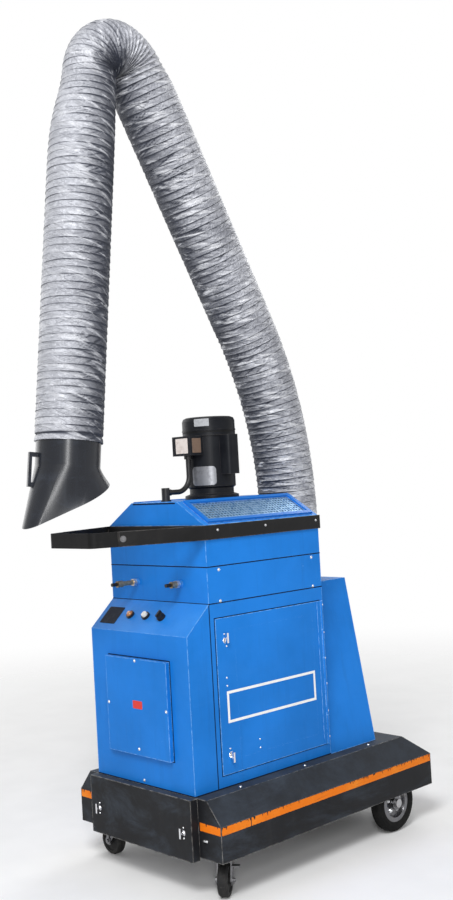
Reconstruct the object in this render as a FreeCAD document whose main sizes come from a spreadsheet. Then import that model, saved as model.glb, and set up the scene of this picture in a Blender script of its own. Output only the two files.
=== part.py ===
import FreeCAD, Part
import math
import os
import re
import Sketcher

# Mobile welding fume extractor: a wheeled chassis with a dust drawer, a filter cabinet with
# a blower on top, and an internally braced hose arm with a hood.
# Millimetres. +Z up, +X the door side, -Y the front with the push handle. z = 0 is the floor.

SIZES = {
    # Chassis pan
    "chassis_y": 198.8,
    "chassis_width": 720,
    "chassis_length": 1065,
    "chassis_clear": 130,
    "skirt_height": 111,
    "slope_rise": 71,
    "side_slope": 61,
    "rear_slope": 85,
    "chassis_wall": 3,
    "runner_width": 169,
    # Dust drawer
    "drawer_front_width": 516,
    "drawer_front_drop": 10,
    "drawer_front_depth": 30,
    "drawer_mouth_width": 468,
    "drawer_mouth_height": 150,
    "tray_width": 400,
    "tray_length": 600,
    "tray_depth": 118,
    "tray_wall": 2,
    "slide_gap": 0.3,
    "drawer_latch_x": 216,
    "drawer_latch_z": 206,
    # Cabinet
    "cabinet_width": 498,
    "cabinet_wall": 3,
    "console_depth": 100,
    "console_height": 498,
    "console_rise": 91,
    "body_depth": 541,
    "plenum_height": 118,
    "blower_height": 134,
    "top_rise": 79,
    "top_plate_width": 236,
    "blower_eye_radius": 88,
    # Side door
    "door_rear_gap": 18.5,
    "door_height": 499,
    "door_front_gap": 21.5,
    "door_sill": 41,
    "door_lap": 15,
    "door_plate": 2.5,
    "door_pan_depth": 19,
    "door_pan_inset": 26,
    "door_latch_inset": 40,
    "door_latch_drop": 65,
    "door_latch_lift": 52,
    "hinge_knuckles": 5,
    "hinge_radius": 4,
    "hinge_pin_radius": 2,
    "hinge_leaf": 1.5,
    "hinge_offset": 6,
    # Quarter-turn latches
    "latch_shaft_radius": 5,
    "latch_wing_length": 32,
    "latch_wing_width": 7,
    "latch_wing_height": 13,
    "latch_cam_length": 36,
    "latch_cam_width": 10,
    "latch_cam_thick": 3,
    "fit_gap": 0.05,
    # Access cover on the console front
    "cover_width": 314,
    "cover_height": 315,
    "cover_sill": 99,
    "cover_depth": 16,
    "cover_lap": 14,
    # Controls on the console slope
    "lamp_x": -90,
    "button_x": -8,
    "knob_x": 72,
    "bezel_radius": 15,
    "bezel_height": 8,
    "button_radius": 10,
    "button_height": 12,
    "button_travel": 4,
    "lamp_radius": 11,
    "knob_radius": 13,
    "knob_height": 18,
    # Rear duct housing
    "duct_depth": 247,
    "duct_height": 593,
    "duct_top_width": 304,
    "duct_top_depth": 240,
    "duct_mouth_width": 240,
    "duct_mouth_height": 200,
    "duct_mouth_sill": 90,
    # Exhaust grilles on the roof slopes
    "grille_end": 20.5,
    "grille_margin": 9,
    "grille_rim": 14,
    "grille_height": 9,
    "grille_sheet": 2,
    "grille_columns": 34,
    "grille_rows": 8,
    "grille_strand": 2.8,
    # Motor
    "motor_radius": 86,
    "motor_height": 234,
    "motor_foot_radius": 95,
    "motor_foot_height": 12,
    "fan_cover_radius": 93,
    "fan_cover_height": 66,
    "fan_cover_round": 14,
    "vent_count": 14,
    "vent_ring": 56,
    "vent_radius": 8,
    "terminal_width": 94,
    "terminal_depth": 60,
    "terminal_height": 67,
    "capacitor_width": 56,
    "capacitor_depth": 40,
    "capacitor_height": 137,
    "shaft_radius": 10,
    "shaft_seat": 60,
    # Blower wheel
    "wheel_radius": 160,
    "wheel_plate": 3,
    "wheel_depth": 62,
    "wheel_clear": 12,
    "blade_count": 9,
    "blade_thick": 3,
    "blade_lean": 42,
    "hub_radius": 24,
    # Conduit from the terminal box to the roof
    "conduit_radius": 9,
    "conduit_bend": 55,
    "conduit_height": 30,
    "conduit_reach": 110,
    "connector_radius": 14,
    # Push rails and handle
    "rail_height": 47,
    "rail_thick": 6,
    "rail_reach": 268,
    "rail_converge": 105,
    "rail_overhang": 5,
    "grip_reach": 80,
    "grip_corner": 26,
    "grip_lap": 62,
    # Compressed-air couplings
    "air_left_x": -105,
    "air_right_x": 120,
    "air_height": 62,
    "air_left_length": 112,
    "air_right_length": 66,
    "air_body_radius": 8,
    "air_nut_radius": 12,
    "air_plug_radius": 6,
    "air_plug_length": 22,
    # Filter
    "filter_radius": 160,
    "filter_height": 430,
    "filter_cap": 14,
    "filter_pleats": 48,
    "pleat_depth": 14,
    "filter_core_radius": 95,
    "yoke_rod_radius": 6,
    "header_radius": 38,
    "header_wall": 4,
    # Rear wheels and axle
    "rear_wheel_radius": 101.6,
    "rear_wheel_width": 48,
    "rear_wheel_inset": 38,
    "rear_wheel_y": 340,
    "rim_radius": 62,
    "rim_lip": 5,
    "axle_radius": 9.5,
    "axle_boss": 15,
    "bracket_inset": 110,
    "bracket_thick": 6,
    "bracket_width": 90,
    "wheel_well": 226,
    # Front casters
    "caster_inset": 86,
    "caster_y": -439,
    "caster_plate_size": 90,
    "caster_plate_thick": 4,
    "caster_radius": 51,
    "caster_width": 32,
    "caster_trail": 34,
    "caster_turn_right": -145,
    "caster_turn_left": 90,
    "fork_gap": 4,
    "fork_thick": 4,
    "fork_top_radius": 32,
    "fork_foot_radius": 15,
    "swivel_radius": 7,
    "caster_axle_radius": 6,
    "brake_length": 62,
    "brake_width": 18,
    "brake_thick": 4,
    # Hose and arm
    "hose_radius": 109,
    "hose_wall": 6,
    "riser_back": 114,
    "collar_flange_radius": 111,
    "collar_flange": 6,
    "collar_radius": 94,
    "collar_height": 45,
    "turret_height": 40,
    "shoulder_z": 1520,
    "shoulder_bend": 1500,
    "shoulder_start": 10,
    "lower_lean": 28.5,
    "lower_run": 1340,
    "elbow_bend": 111.5,
    "elbow_rise": 92,
    "upper_lean": 6.5,
    "upper_run": 1093,
    "wrist_run": 130,
    "link_width": 36,
    "link_thick": 6,
    "link_inner": 10,
    "link_gap": 0.3,
    "arm_pin_radius": 8,
    "wrist_pin_radius": 6,
    "post_width": 30,
    "post_depth": 50,
    # Hood
    "hood_collar_radius": 102.5,
    "hood_wall": 3,
    "hood_collar_length": 60,
    "hood_neck_drop": 20,
    "hood_drop": 130,
    "hood_back": 8,
    "nose_radius": 50,
    "nose_reach": 130,
    "heel_radius": 120,
    "heel_back": 26,
    "mouth_tilt": 24,
    "spool_groove": 3,
    "hood_handle_drop": 41,
    "hood_handle_length": 108,
    "hood_handle_bar": 14,
    "hood_handle_stand": 26,
    "hood_handle_turn": 15.5,
}

PLACES = {
    "deck_z": "chassis_clear + skirt_height + slope_rise",
    "skirt_top": "chassis_clear + skirt_height",
    "chassis_front": "chassis_y - chassis_length / 2",
    "chassis_rear": "chassis_y + chassis_length / 2",
    "chassis_half": "chassis_width / 2",
    "runner_edge": "chassis_half - chassis_wall - runner_width",
    "tray_floor": "chassis_clear + chassis_wall + slide_gap",
    "drawer_face": "chassis_front - drawer_front_depth",
    "body_front": "chassis_front + console_depth",
    "body_rear": "body_front + body_depth",
    "body_middle": "body_front + body_depth / 2",
    "cabinet_half": "cabinet_width / 2",
    "console_top": "deck_z + console_height",
    "cabinet_top": "console_top + console_rise",
    "plenum_top": "cabinet_top + plenum_height",
    "blower_top": "plenum_top + blower_height",
    "roof_z": "blower_top + top_rise",
    "roof_half": "top_plate_width / 2",
    "console_angle": "atan(console_rise / console_depth)",
    "roof_angle": "atan(top_rise / (cabinet_half - roof_half))",
    "roof_slope": "sqrt(top_rise ^ 2 + (cabinet_half - roof_half) ^ 2)",
    "door_front": "body_front + door_front_gap",
    "door_rear": "body_rear - door_rear_gap",
    "door_foot": "deck_z + door_sill",
    "door_head": "door_foot + door_height",
    "door_face": "cabinet_half + slide_gap + door_plate",
    "hinge_x": "cabinet_half + hinge_radius",
    "hinge_y": "door_rear + hinge_offset",
    "motor_y": "body_middle",
    "motor_top": "roof_z + motor_height",
    "rail_top": "blower_top",
    "rail_foot": "blower_top - rail_height",
    "rail_end": "body_front - rail_reach",
    "duct_top": "deck_z + duct_height",
    "riser_y": "body_rear + riser_back",
    "elbow_y": "riser_y - lower_run * sin(lower_lean) - elbow_bend * cos(lower_lean)",
    "elbow_z": "shoulder_z + lower_run * cos(lower_lean) - elbow_bend * sin(lower_lean)",
    "elbow_turn": "180 - lower_lean - upper_lean",
    "elbow_aim": "(upper_lean - lower_lean) / 2",
    "pivot_y": "elbow_y + elbow_rise * sin(elbow_aim)",
    "pivot_z": "elbow_z + elbow_rise * cos(elbow_aim)",
    "upper_y": "elbow_y - elbow_bend * cos(upper_lean)",
    "upper_z": "elbow_z + elbow_bend * sin(upper_lean)",
    "wrist_y": "upper_y - (upper_run + wrist_run) * sin(upper_lean)",
    "wrist_z": "upper_z - (upper_run + wrist_run) * cos(upper_lean)",
    "bend_run": "shoulder_bend * tan(lower_lean / 2)",
    "hose_foot": "duct_top + collar_flange + slide_gap",
    "wheel_y": "chassis_y + rear_wheel_y",
    "rear_wheel_x": "chassis_half - rear_wheel_inset",
    "bracket_x": "chassis_half - bracket_inset",
    "caster_x": "chassis_half - caster_inset",
    "grille_length": "body_depth - 2 * grille_end",
    "filter_top": "cabinet_top - cabinet_wall",
    "slope_y": "chassis_front + console_depth / 2",
    "slope_z": "console_top + console_rise / 2",
}

AXES = {
    "X": FreeCAD.Rotation(FreeCAD.Vector(0, 1, 0), 90),
    "Z": FreeCAD.Rotation(),
    "-Y": FreeCAD.Rotation(FreeCAD.Vector(1, 0, 0), 90),
    "Y": FreeCAD.Rotation(FreeCAD.Vector(1, 0, 0), -90),
}

ALL_AROUND = FreeCAD.Rotation(FreeCAD.Vector(1, 1, 1), 120)

doc = FreeCAD.newDocument("FumeExtractor")
NODES = []


def make_sheet():
    """The sheet of driving dimensions, one named cell each."""
    sheet = doc.addObject("Spreadsheet::Sheet", "Sizes")
    for row, (alias, value) in enumerate(SIZES.items(), start=1):
        sheet.set(f"A{row}", alias)
        sheet.set(f"B{row}", str(value))
        sheet.setAlias(f"B{row}", alias)
    doc.recompute()
    return sheet


SHEET = make_sheet()


def formula(text):
    """The text with each place written out and each size read from its cell."""
    def name(match):
        word = match.group()
        if word in PLACES:
            return f"({formula(PLACES[word])})"
        return f"Sizes.{word}" if word in SIZES else word
    return re.sub(r"[A-Za-z_]\w*", name, str(text))


def value(text):
    """The number that a formula gives."""
    return float(SHEET.evalExpression(formula(text)))


def bind(piece, sizes):
    """Tie each property of a piece to a formula."""
    for prop, text in sizes.items():
        piece.setExpression(prop, formula(text))


def place(piece, at, turn=None):
    """Put a piece at a point given by three formulas, turned by a rotation or (axis, angle)."""
    if isinstance(turn, tuple):
        axis, angle = turn
        piece.Placement.Rotation = FreeCAD.Rotation(FreeCAD.Vector(*axis), value(angle))
        bind(piece, {"Placement.Rotation.Angle": angle})
    elif turn is not None:
        piece.Placement.Rotation = turn
    bind(piece, dict(zip(("Placement.Base.x", "Placement.Base.y", "Placement.Base.z"), at)))
    return piece


def node(piece, label):
    """Register a finished sub-part under its own label."""
    piece.Label = label
    NODES.append(piece)
    return piece


def box(name, xs, ys, zs):
    """A block between two formulas along each axis."""
    piece = doc.addObject("Part::Box", name)
    spans = (("Length", xs), ("Width", ys), ("Height", zs))
    bind(piece, {prop: f"({high}) - ({low})" for prop, (low, high) in spans})
    return place(piece, (xs[0], ys[0], zs[0]))


def local_box(name, size, at, turn=None):
    """A block of three sizes whose low corner stands at a point, turned about that point."""
    piece = doc.addObject("Part::Box", name)
    bind(piece, dict(zip(("Length", "Width", "Height"), size)))
    return place(piece, at, turn)


def rod(name, radius, length, at, turn="Z"):
    """A round bar from a point along an axis."""
    piece = doc.addObject("Part::Cylinder", name)
    bind(piece, {"Radius": radius, "Height": length})
    return place(piece, at, AXES[turn] if isinstance(turn, str) else turn)


def cone(name, radius_low, radius_high, length, at, turn="Z"):
    """A cone or taper from a point along a direction."""
    piece = doc.addObject("Part::Cone", name)
    bind(piece, {"Radius1": radius_low, "Radius2": radius_high, "Height": length})
    return place(piece, at, AXES[turn] if isinstance(turn, str) else turn)


def fuse(name, *pieces):
    """Several pieces joined into one."""
    piece = doc.addObject("Part::MultiFuse", name)
    piece.Shapes = list(pieces)
    return piece


def cut(name, base, *tools):
    """The first piece less the others."""
    piece = doc.addObject("Part::Cut", name)
    piece.Base = base
    piece.Tool = tools[0] if len(tools) == 1 else fuse(name + "_tools", *tools)
    return piece


def group(name, *pieces):
    """Separate solids kept together as one node."""
    piece = doc.addObject("Part::Compound", name)
    piece.Links = list(pieces)
    return piece


def plane_of(body, role):
    """The origin plane or axis of a body that has a given role."""
    return next(item for item in body.Origin.OriginFeatures if item.Role == role)


def outline_sketch(body, name, plane, outline):
    """A closed polygon on an origin plane, each corner tied to two formulas."""
    sketch = body.newObject("Sketcher::SketchObject", name)
    sketch.AttachmentSupport = [(plane_of(body, plane), "")]
    sketch.MapMode = "FlatFace"
    corners = [FreeCAD.Vector(value(across), value(up), 0) for across, up in outline]
    count = len(corners)
    for index, corner in enumerate(corners):
        sketch.addGeometry(Part.LineSegment(corner, corners[(index + 1) % count]), False)
    for index in range(count):
        sketch.addConstraint(Sketcher.Constraint("Coincident", index, 2, (index + 1) % count, 1))
    for index, texts in enumerate(outline):
        for kind, text in zip(("DistanceX", "DistanceY"), texts):
            tie = sketch.addConstraint(Sketcher.Constraint(kind, -1, 1, index, 1, value(text)))
            sketch.setExpression(f"Constraints[{tie}]", formula(text))
    return sketch


def prism(name, plane, outline, length, at=("0", "0", "0"), turn=None, middle=False):
    """A polygon padded off its plane: XY goes up, YZ to +X, XZ to -Y, or both ways from the middle."""
    body = doc.addObject("PartDesign::Body", name)
    sketch = outline_sketch(body, name + "_outline", plane, outline)
    pad = body.newObject("PartDesign::Pad", name + "_pad")
    pad.Profile = sketch
    if middle:
        pad.SideType = "Symmetric"
    bind(pad, {"Length": length})
    return place(body, at, turn)


def turned(name, outline, at, turn=None):
    """A half profile of (radius, height) pairs revolved about its own upright axis."""
    body = doc.addObject("PartDesign::Body", name)
    sketch = outline_sketch(body, name + "_profile", "XZ_Plane", outline)
    spin = body.newObject("PartDesign::Revolution", name + "_turn")
    spin.Profile = sketch
    spin.ReferenceAxis = (sketch, ["V_Axis"])
    spin.Angle = 360
    return place(body, at, turn)


def round_edges(name, base, radius, pick):
    """The base with the edges that the test picks rounded off."""
    doc.recompute()
    piece = doc.addObject("Part::Fillet", name)
    piece.Base = base
    size = value(radius)
    edges = [(i, size, size) for i, edge in enumerate(base.Shape.Edges, start=1) if pick(edge)]
    piece.Edges = edges
    return piece


def upright(edge):
    """Whether an edge is a straight one along Z."""
    low, high = edge.BoundBox.ZMin, edge.BoundBox.ZMax
    return abs(edge.Length - (high - low)) < 1e-6


def make_chassis():
    """Folded pan with sloped edges, a mouth for the drawer and turned-in bottom flanges."""
    section = [("-chassis_half", "chassis_clear"), ("chassis_half", "chassis_clear"),
               ("chassis_half", "skirt_top"), ("chassis_half - side_slope", "deck_z"),
               ("side_slope - chassis_half", "deck_z"), ("-chassis_half", "skirt_top")]
    pan = prism("pan", "XZ_Plane", section, "chassis_length", ("0", "chassis_rear", "0"))
    bevel = prism("rear_bevel", "YZ_Plane",
                  [("-rear_slope", "deck_z"), ("0", "skirt_top"), ("rear_slope", "skirt_top"),
                   ("rear_slope", "deck_z + slope_rise"), ("-rear_slope", "deck_z + slope_rise")],
                  "2 * chassis_width", ("0", "chassis_rear", "0"), middle=True)
    shell = cut("pan_outside", pan, bevel)
    inner_half = "chassis_half - chassis_wall"
    hollow = prism("pan_hollow", "XZ_Plane",
                   [(f"-({inner_half})", "chassis_clear + chassis_wall"),
                    (inner_half, "chassis_clear + chassis_wall"),
                    (inner_half, "skirt_top - chassis_wall / 2"),
                    ("chassis_half - side_slope - chassis_wall / 2", "deck_z - chassis_wall"),
                    ("side_slope + chassis_wall / 2 - chassis_half", "deck_z - chassis_wall"),
                    (f"-({inner_half})", "skirt_top - chassis_wall / 2")],
                   "chassis_length - 2 * chassis_wall", ("0", "chassis_rear - chassis_wall", "0"))
    inner_bevel = prism("inner_bevel", "YZ_Plane",
                        [("-rear_slope", "deck_z"), ("0", "skirt_top"), ("rear_slope", "skirt_top"),
                         ("rear_slope", "deck_z + slope_rise"), ("-rear_slope", "deck_z + slope_rise")],
                        "2 * chassis_width", ("0", "chassis_rear - chassis_wall", "-chassis_wall / 2"),
                        middle=True)
    inside = cut("pan_inside", hollow, inner_bevel)
    floor_gap = box("floor_gap", ("-runner_edge", "runner_edge"),
                    ("chassis_front + chassis_wall", "chassis_rear - runner_width"),
                    ("0", "chassis_clear + 2 * chassis_wall"))
    mouth = box("drawer_mouth", ("-drawer_mouth_width / 2", "drawer_mouth_width / 2"),
                ("chassis_front - chassis_wall", "chassis_front + 2 * chassis_wall"),
                ("chassis_clear + chassis_wall", "chassis_clear + chassis_wall + drawer_mouth_height"))
    chute = box("dust_chute", ("-tray_width / 2", "tray_width / 2"),
                ("body_front", "chassis_front + tray_length - console_depth"),
                ("deck_z - 2 * chassis_wall", "deck_z + chassis_wall"))
    wells = [box(f"wheel_well_{side}", (low, high),
                 ("wheel_y - wheel_well / 2", "wheel_y + wheel_well / 2"),
                 ("0", "chassis_clear + 2 * chassis_wall"))
             for side, low, high in (("right", "bracket_x - 2 * bracket_thick", inner_half),
                                     ("left", f"-({inner_half})", "2 * bracket_thick - bracket_x"))]
    node(cut("chassis_tub", shell, inside, floor_gap, mouth, chute, *wells), "chassis_tub")


def make_drawer():
    """Dust drawer: a pan front that laps the mouth and an open tray on the runner flanges."""
    half = "drawer_front_width / 2"
    foot, head = "chassis_clear - drawer_front_drop", "deck_z"
    front = box("front_pan", (f"-{half}", half), ("drawer_face", "chassis_front - slide_gap"), (foot, head))
    hollow = box("front_hollow", (f"tray_wall - {half}", f"{half} - tray_wall"),
                 ("drawer_face + tray_wall", "chassis_front + 1"),
                 (f"{foot} + tray_wall", f"{head} - tray_wall"))
    holes = [rod(f"drawer_latch_hole_{side}", "latch_shaft_radius + fit_gap", "3 * tray_wall",
                 (f"{sign} * drawer_latch_x", "drawer_face + 2 * tray_wall", "drawer_latch_z"), "-Y")
             for side, sign in (("left", -1), ("right", 1))]
    node(cut("drawer_front", front, hollow, *holes), "drawer_front")
    half = "tray_width / 2"
    tray = box("tray_block", (f"-{half}", half),
               ("drawer_face + tray_wall", "chassis_front + tray_length"),
               ("tray_floor", "tray_floor + tray_depth"))
    well = box("tray_well", (f"tray_wall - {half}", f"{half} - tray_wall"),
               ("drawer_face + 2 * tray_wall", "chassis_front + tray_length - tray_wall"),
               ("tray_floor + tray_wall", "tray_floor + tray_depth + 1"))
    node(cut("drawer_tray", tray, well), "drawer_tray")


def make_latch(label, at, outward, depth, up):
    """Quarter-turn latch: wing outside, shaft through the sheet, cam inside pointing up at rest."""
    x, y, z = at
    sign, axis = outward
    half = "latch_wing_width / 2"
    lead, tail = "latch_wing_height", f"({depth})"

    def span(centre, low, high):
        """A range along the shaft, counted outwards from the sheet's face."""
        ends = (f"{centre} + ({low})", f"{centre} + ({high})")
        flipped = (f"{centre} - ({high})", f"{centre} - ({low})")
        return ends if sign > 0 else flipped

    def block(name, low, high, wide, zs):
        if axis == "X":
            return box(name, span(x, low, high), (f"{y} - {wide}", f"{y} + {wide}"), zs)
        return box(name, (f"{x} - {wide}", f"{x} + {wide}"), span(y, low, high), zs)

    wing_foot = "3"
    wing = block(label + "_wing", wing_foot, lead, half,
                 (f"{z} - latch_wing_length / 2", f"{z} + latch_wing_length / 2"))
    cam = block(label + "_cam", f"-{tail} - latch_cam_thick", f"-{tail}", "latch_cam_width / 2",
                (f"{z} - latch_cam_width / 2", f"{z} + latch_cam_length - latch_cam_width / 2")
                if up else
                (f"{z} + latch_cam_width / 2 - latch_cam_length", f"{z} + latch_cam_width / 2"))
    low, high = span(x if axis == "X" else y, f"-{tail} - latch_cam_thick", "latch_wing_height - 4")
    length = f"({high}) - ({low})"
    if axis == "X":
        shaft = rod(label + "_shaft", "latch_shaft_radius", length, (low, y, z), "X")
    else:
        shaft = rod(label + "_shaft", "latch_shaft_radius", length, (x, low, z), "Y")
    node(fuse(label, wing, shaft, cam), label)


def make_latches():
    """Latches of the drawer front and of the side door."""
    for side, sign in (("left", -1), ("right", 1)):
        make_latch(f"drawer_latch_{side}", (f"{sign} * drawer_latch_x", "drawer_face", "drawer_latch_z"),
                   (-1, "Y"), "drawer_front_depth + chassis_wall + 2", up=True)
    for height, z, up in (("upper", "door_head - door_latch_drop", False),
                          ("lower", "door_foot + door_latch_lift", True)):
        make_latch(f"door_latch_{height}", ("door_face", "door_front + door_latch_inset", z),
                   (1, "X"), "door_plate + cabinet_wall + 2", up)


def make_cabinet():
    """Lower cabinet with the sloped console, open for the door, the cover and the duct."""
    wall = "cabinet_wall"
    outside = prism("cabinet_outside", "YZ_Plane",
                    [("chassis_front", "deck_z"), ("body_rear", "deck_z"), ("body_rear", "cabinet_top"),
                     ("body_front", "cabinet_top"), ("chassis_front", "console_top")],
                    "cabinet_width", middle=True)
    inside = prism("cabinet_inside", "YZ_Plane",
                   [("chassis_front + cabinet_wall", "deck_z - 1"),
                    ("body_rear - cabinet_wall", "deck_z - 1"),
                    ("body_rear - cabinet_wall", "cabinet_top + 1"),
                    ("body_front + cabinet_wall", "cabinet_top + 1"),
                    ("body_front + cabinet_wall", "cabinet_top - cabinet_wall"),
                    ("chassis_front + cabinet_wall", "console_top - cabinet_wall")],
                   "cabinet_width - 2 * cabinet_wall", middle=True)
    door_gap = box("door_gap", (f"cabinet_half - 2 * {wall}", f"cabinet_half + {wall}"),
                   ("door_front + door_lap", "door_rear - door_lap"),
                   ("door_foot + door_lap", "door_head - door_lap"))
    cover_gap = box("cover_gap", ("cover_lap - cover_width / 2", "cover_width / 2 - cover_lap"),
                    (f"chassis_front - {wall}", f"chassis_front + 2 * {wall}"),
                    ("deck_z + cover_sill + cover_lap", "deck_z + cover_sill + cover_height - cover_lap"))
    duct_gap = box("duct_gap", ("-duct_mouth_width / 2", "duct_mouth_width / 2"),
                   (f"body_rear - 2 * {wall}", f"body_rear + {wall}"),
                   ("deck_z + duct_mouth_sill", "deck_z + duct_mouth_sill + duct_mouth_height"))
    node(cut("cabinet_shell", outside, inside, door_gap, cover_gap, duct_gap), "cabinet_shell")
    cover = box("cover_block", ("-cover_width / 2", "cover_width / 2"),
                ("chassis_front - cover_depth", "chassis_front"),
                ("deck_z + cover_sill", "deck_z + cover_sill + cover_height"))
    cover_inside = box("cover_inside", (f"{wall} - cover_width / 2", f"cover_width / 2 - {wall}"),
                       (f"chassis_front - cover_depth + {wall}", "chassis_front + 1"),
                       (f"deck_z + cover_sill + {wall}", f"deck_z + cover_sill + cover_height - {wall}"))
    node(cut("access_cover", cover, cover_inside), "access_cover")


def make_modules():
    """Plenum and blower housings stacked on the cabinet, and the sloped roof."""
    half, wall = "cabinet_half", "cabinet_wall"

    def sleeve(name, foot, head, floor):
        outer = box(name + "_outside", (f"-{half}", half), ("body_front", "body_rear"), (foot, head))
        inner = box(name + "_inside", (f"{wall} - {half}", f"{half} - {wall}"),
                    (f"body_front + {wall}", f"body_rear - {wall}"), (f"{foot} + {floor}", f"{head} + 1"))
        return outer, inner

    node(cut("plenum_module", *sleeve("plenum", "cabinet_top", "plenum_top", "-1")), "plenum_module")
    eye = rod("blower_eye", "blower_eye_radius", f"3 * {wall}", ("0", "motor_y", f"plenum_top - {wall}"))
    outer, inner = sleeve("blower", "plenum_top", "blower_top", wall)
    node(cut("blower_module", outer, inner, eye), "blower_module")

    roof = prism("roof_outside", "XZ_Plane",
                 [(f"-{half}", "blower_top"), (half, "blower_top"), ("roof_half", "roof_z"),
                  ("-roof_half", "roof_z")], "body_depth", ("0", "body_rear", "0"))
    hollow = prism("roof_inside", "XZ_Plane",
                   [(f"2 * {wall} - {half}", "blower_top"), (f"{half} - 2 * {wall}", "blower_top"),
                    (f"roof_half - {wall} / 2", f"roof_z - {wall}"),
                    (f"{wall} / 2 - roof_half", f"roof_z - {wall}")],
                   f"body_depth - 2 * {wall}", ("0", f"body_rear - {wall}", "0"))
    shaft_hole = rod("roof_shaft_hole", "shaft_radius + 4", f"3 * {wall}",
                     ("0", "motor_y", f"roof_z - 2 * {wall}"))
    windows = []
    for side, sign in (("right", 1), ("left", -1)):
        turn = ((0, 1, 0), f"{sign} * roof_angle")
        wide = "roof_slope - 2 * grille_margin - 2 * grille_rim"
        window = prism(f"roof_window_{side}", "XY_Plane",
                       [(f"-({wide}) / 2", "grille_rim - grille_length / 2"),
                        (f"({wide}) / 2", "grille_rim - grille_length / 2"),
                        (f"({wide}) / 2", "grille_length / 2 - grille_rim"),
                        (f"-({wide}) / 2", "grille_length / 2 - grille_rim")], "8 * cabinet_wall",
                       roof_seat(sign), turn)
        bind(window, {"Placement.Base.x": f"{sign} * ((cabinet_half + roof_half) / 2"
                                          " - 4 * cabinet_wall * sin(roof_angle))",
                      "Placement.Base.z": "(blower_top + roof_z) / 2 - 4 * cabinet_wall * cos(roof_angle)"})
        windows.append(window)
    node(cut("top_hood", roof, hollow, shaft_hole, *windows), "top_hood")


def roof_seat(sign):
    """The middle of a roof slope, on the side given by the sign."""
    return (f"{sign} * (cabinet_half + roof_half) / 2", "body_middle", "(blower_top + roof_z) / 2")


def make_grilles():
    """Expanded-metal exhaust grilles in raised rims, one on each roof slope."""
    for side, sign in (("right", 1), ("left", -1)):
        label = f"exhaust_grille_{side}"
        body = doc.addObject("PartDesign::Body", label + "_mesh")
        wide, long = "roof_slope - 2 * grille_margin", "grille_length"
        outer = [(f"-({wide}) / 2", f"-{long} / 2"), (f"({wide}) / 2", f"-{long} / 2"),
                 (f"({wide}) / 2", f"{long} / 2"), (f"-({wide}) / 2", f"{long} / 2")]
        sheet = body.newObject("PartDesign::Pad", label + "_sheet")
        sheet.Profile = outline_sketch(body, label + "_sheet_outline", "XY_Plane", outer)
        bind(sheet, {"Length": "grille_sheet"})
        inner_wide, inner_long = f"({wide} - 2 * grille_rim)", f"({long} - 2 * grille_rim)"
        pitch_x, pitch_y = f"({inner_wide} / grille_rows)", f"({inner_long} / grille_columns)"
        reach_x, reach_y = f"(({pitch_x} - grille_strand) / 2)", f"(({pitch_y} - grille_strand) / 2)"
        first_x = f"(({pitch_x} - {inner_wide}) / 2)"
        first_y = f"(({pitch_y} - {inner_long}) / 2)"
        diamond = outline_sketch(body, label + "_diamond", "XY_Plane",
                                 [(f"{first_x} - {reach_x}", first_y), (first_x, f"{first_y} - {reach_y}"),
                                  (f"{first_x} + {reach_x}", first_y), (first_x, f"{first_y} + {reach_y}")])
        hole = body.newObject("PartDesign::Pocket", label + "_hole")
        hole.Profile = diamond
        hole.Type = "ThroughAll"
        hole.SideType = "Symmetric"
        doc.recompute()
        rows = body.newObject("PartDesign::MultiTransform", label + "_holes")
        across = body.newObject("PartDesign::LinearPattern", label + "_across")
        across.Direction = (plane_of(body, "X_Axis"), [""])
        bind(across, {"Length": f"{inner_wide} - {pitch_x}", "Occurrences": "grille_rows"})
        along = body.newObject("PartDesign::LinearPattern", label + "_along")
        along.Direction = (plane_of(body, "Y_Axis"), [""])
        bind(along, {"Length": f"{inner_long} - {pitch_y}", "Occurrences": "grille_columns"})
        rows.Originals = [hole]
        rows.Transformations = [across, along]
        body.Tip = rows
        place(body, roof_seat(sign), ((0, 1, 0), f"{sign} * roof_angle"))
        rim = prism(label + "_rim", "XY_Plane", outer, "grille_height", roof_seat(sign),
                    ((0, 1, 0), f"{sign} * roof_angle"))
        clear = prism(label + "_clear", "XY_Plane",
                      [(f"{x} * {inner_wide} / 2", f"{y} * {inner_long} / 2")
                       for x, y in ((-1, -1), (1, -1), (1, 1), (-1, 1))],
                      "2 * grille_height", roof_seat(sign), ((0, 1, 0), f"{sign} * roof_angle"))
        node(fuse(label + "_whole", body, cut(label + "_frame", rim, clear)), label)


def make_duct():
    """Tapered duct housing behind the cabinet, open to it and to the arm above."""
    def taper(name, inset, drop):
        """A block that narrows upwards, smaller all over by the inset."""
        piece = doc.addObject("Part::Wedge", name)
        half, depth = f"cabinet_half - {inset}", f"duct_depth - {inset}"
        bind(piece, {"Xmin": f"-({half})", "Xmax": half,
                     "Ymin": f"-({drop})", "Ymax": f"duct_height - {inset}",
                     "Zmin": f"-({depth})", "Zmax": f"-{inset}",
                     "X2min": f"{inset} - duct_top_width / 2", "X2max": f"duct_top_width / 2 - {inset}",
                     "Z2min": f"{inset} - duct_top_depth", "Z2max": f"-{inset}"})
        return place(piece, ("0", "body_rear", "deck_z"), AXES["-Y"])

    mouth = box("duct_mouth", ("-duct_mouth_width / 2", "duct_mouth_width / 2"),
                ("body_rear - cabinet_wall", "body_rear + 2 * cabinet_wall"),
                ("deck_z + duct_mouth_sill", "deck_z + duct_mouth_sill + duct_mouth_height"))
    neck = rod("duct_neck", "collar_radius - hose_wall", "4 * cabinet_wall",
               ("0", "riser_y", "duct_top - 2 * cabinet_wall"))
    shell = cut("rear_duct_housing", taper("duct_outside", "0", "0"),
                taper("duct_inside", "cabinet_wall", "1"), mouth, neck)
    node(shell, "rear_duct_housing")


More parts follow.
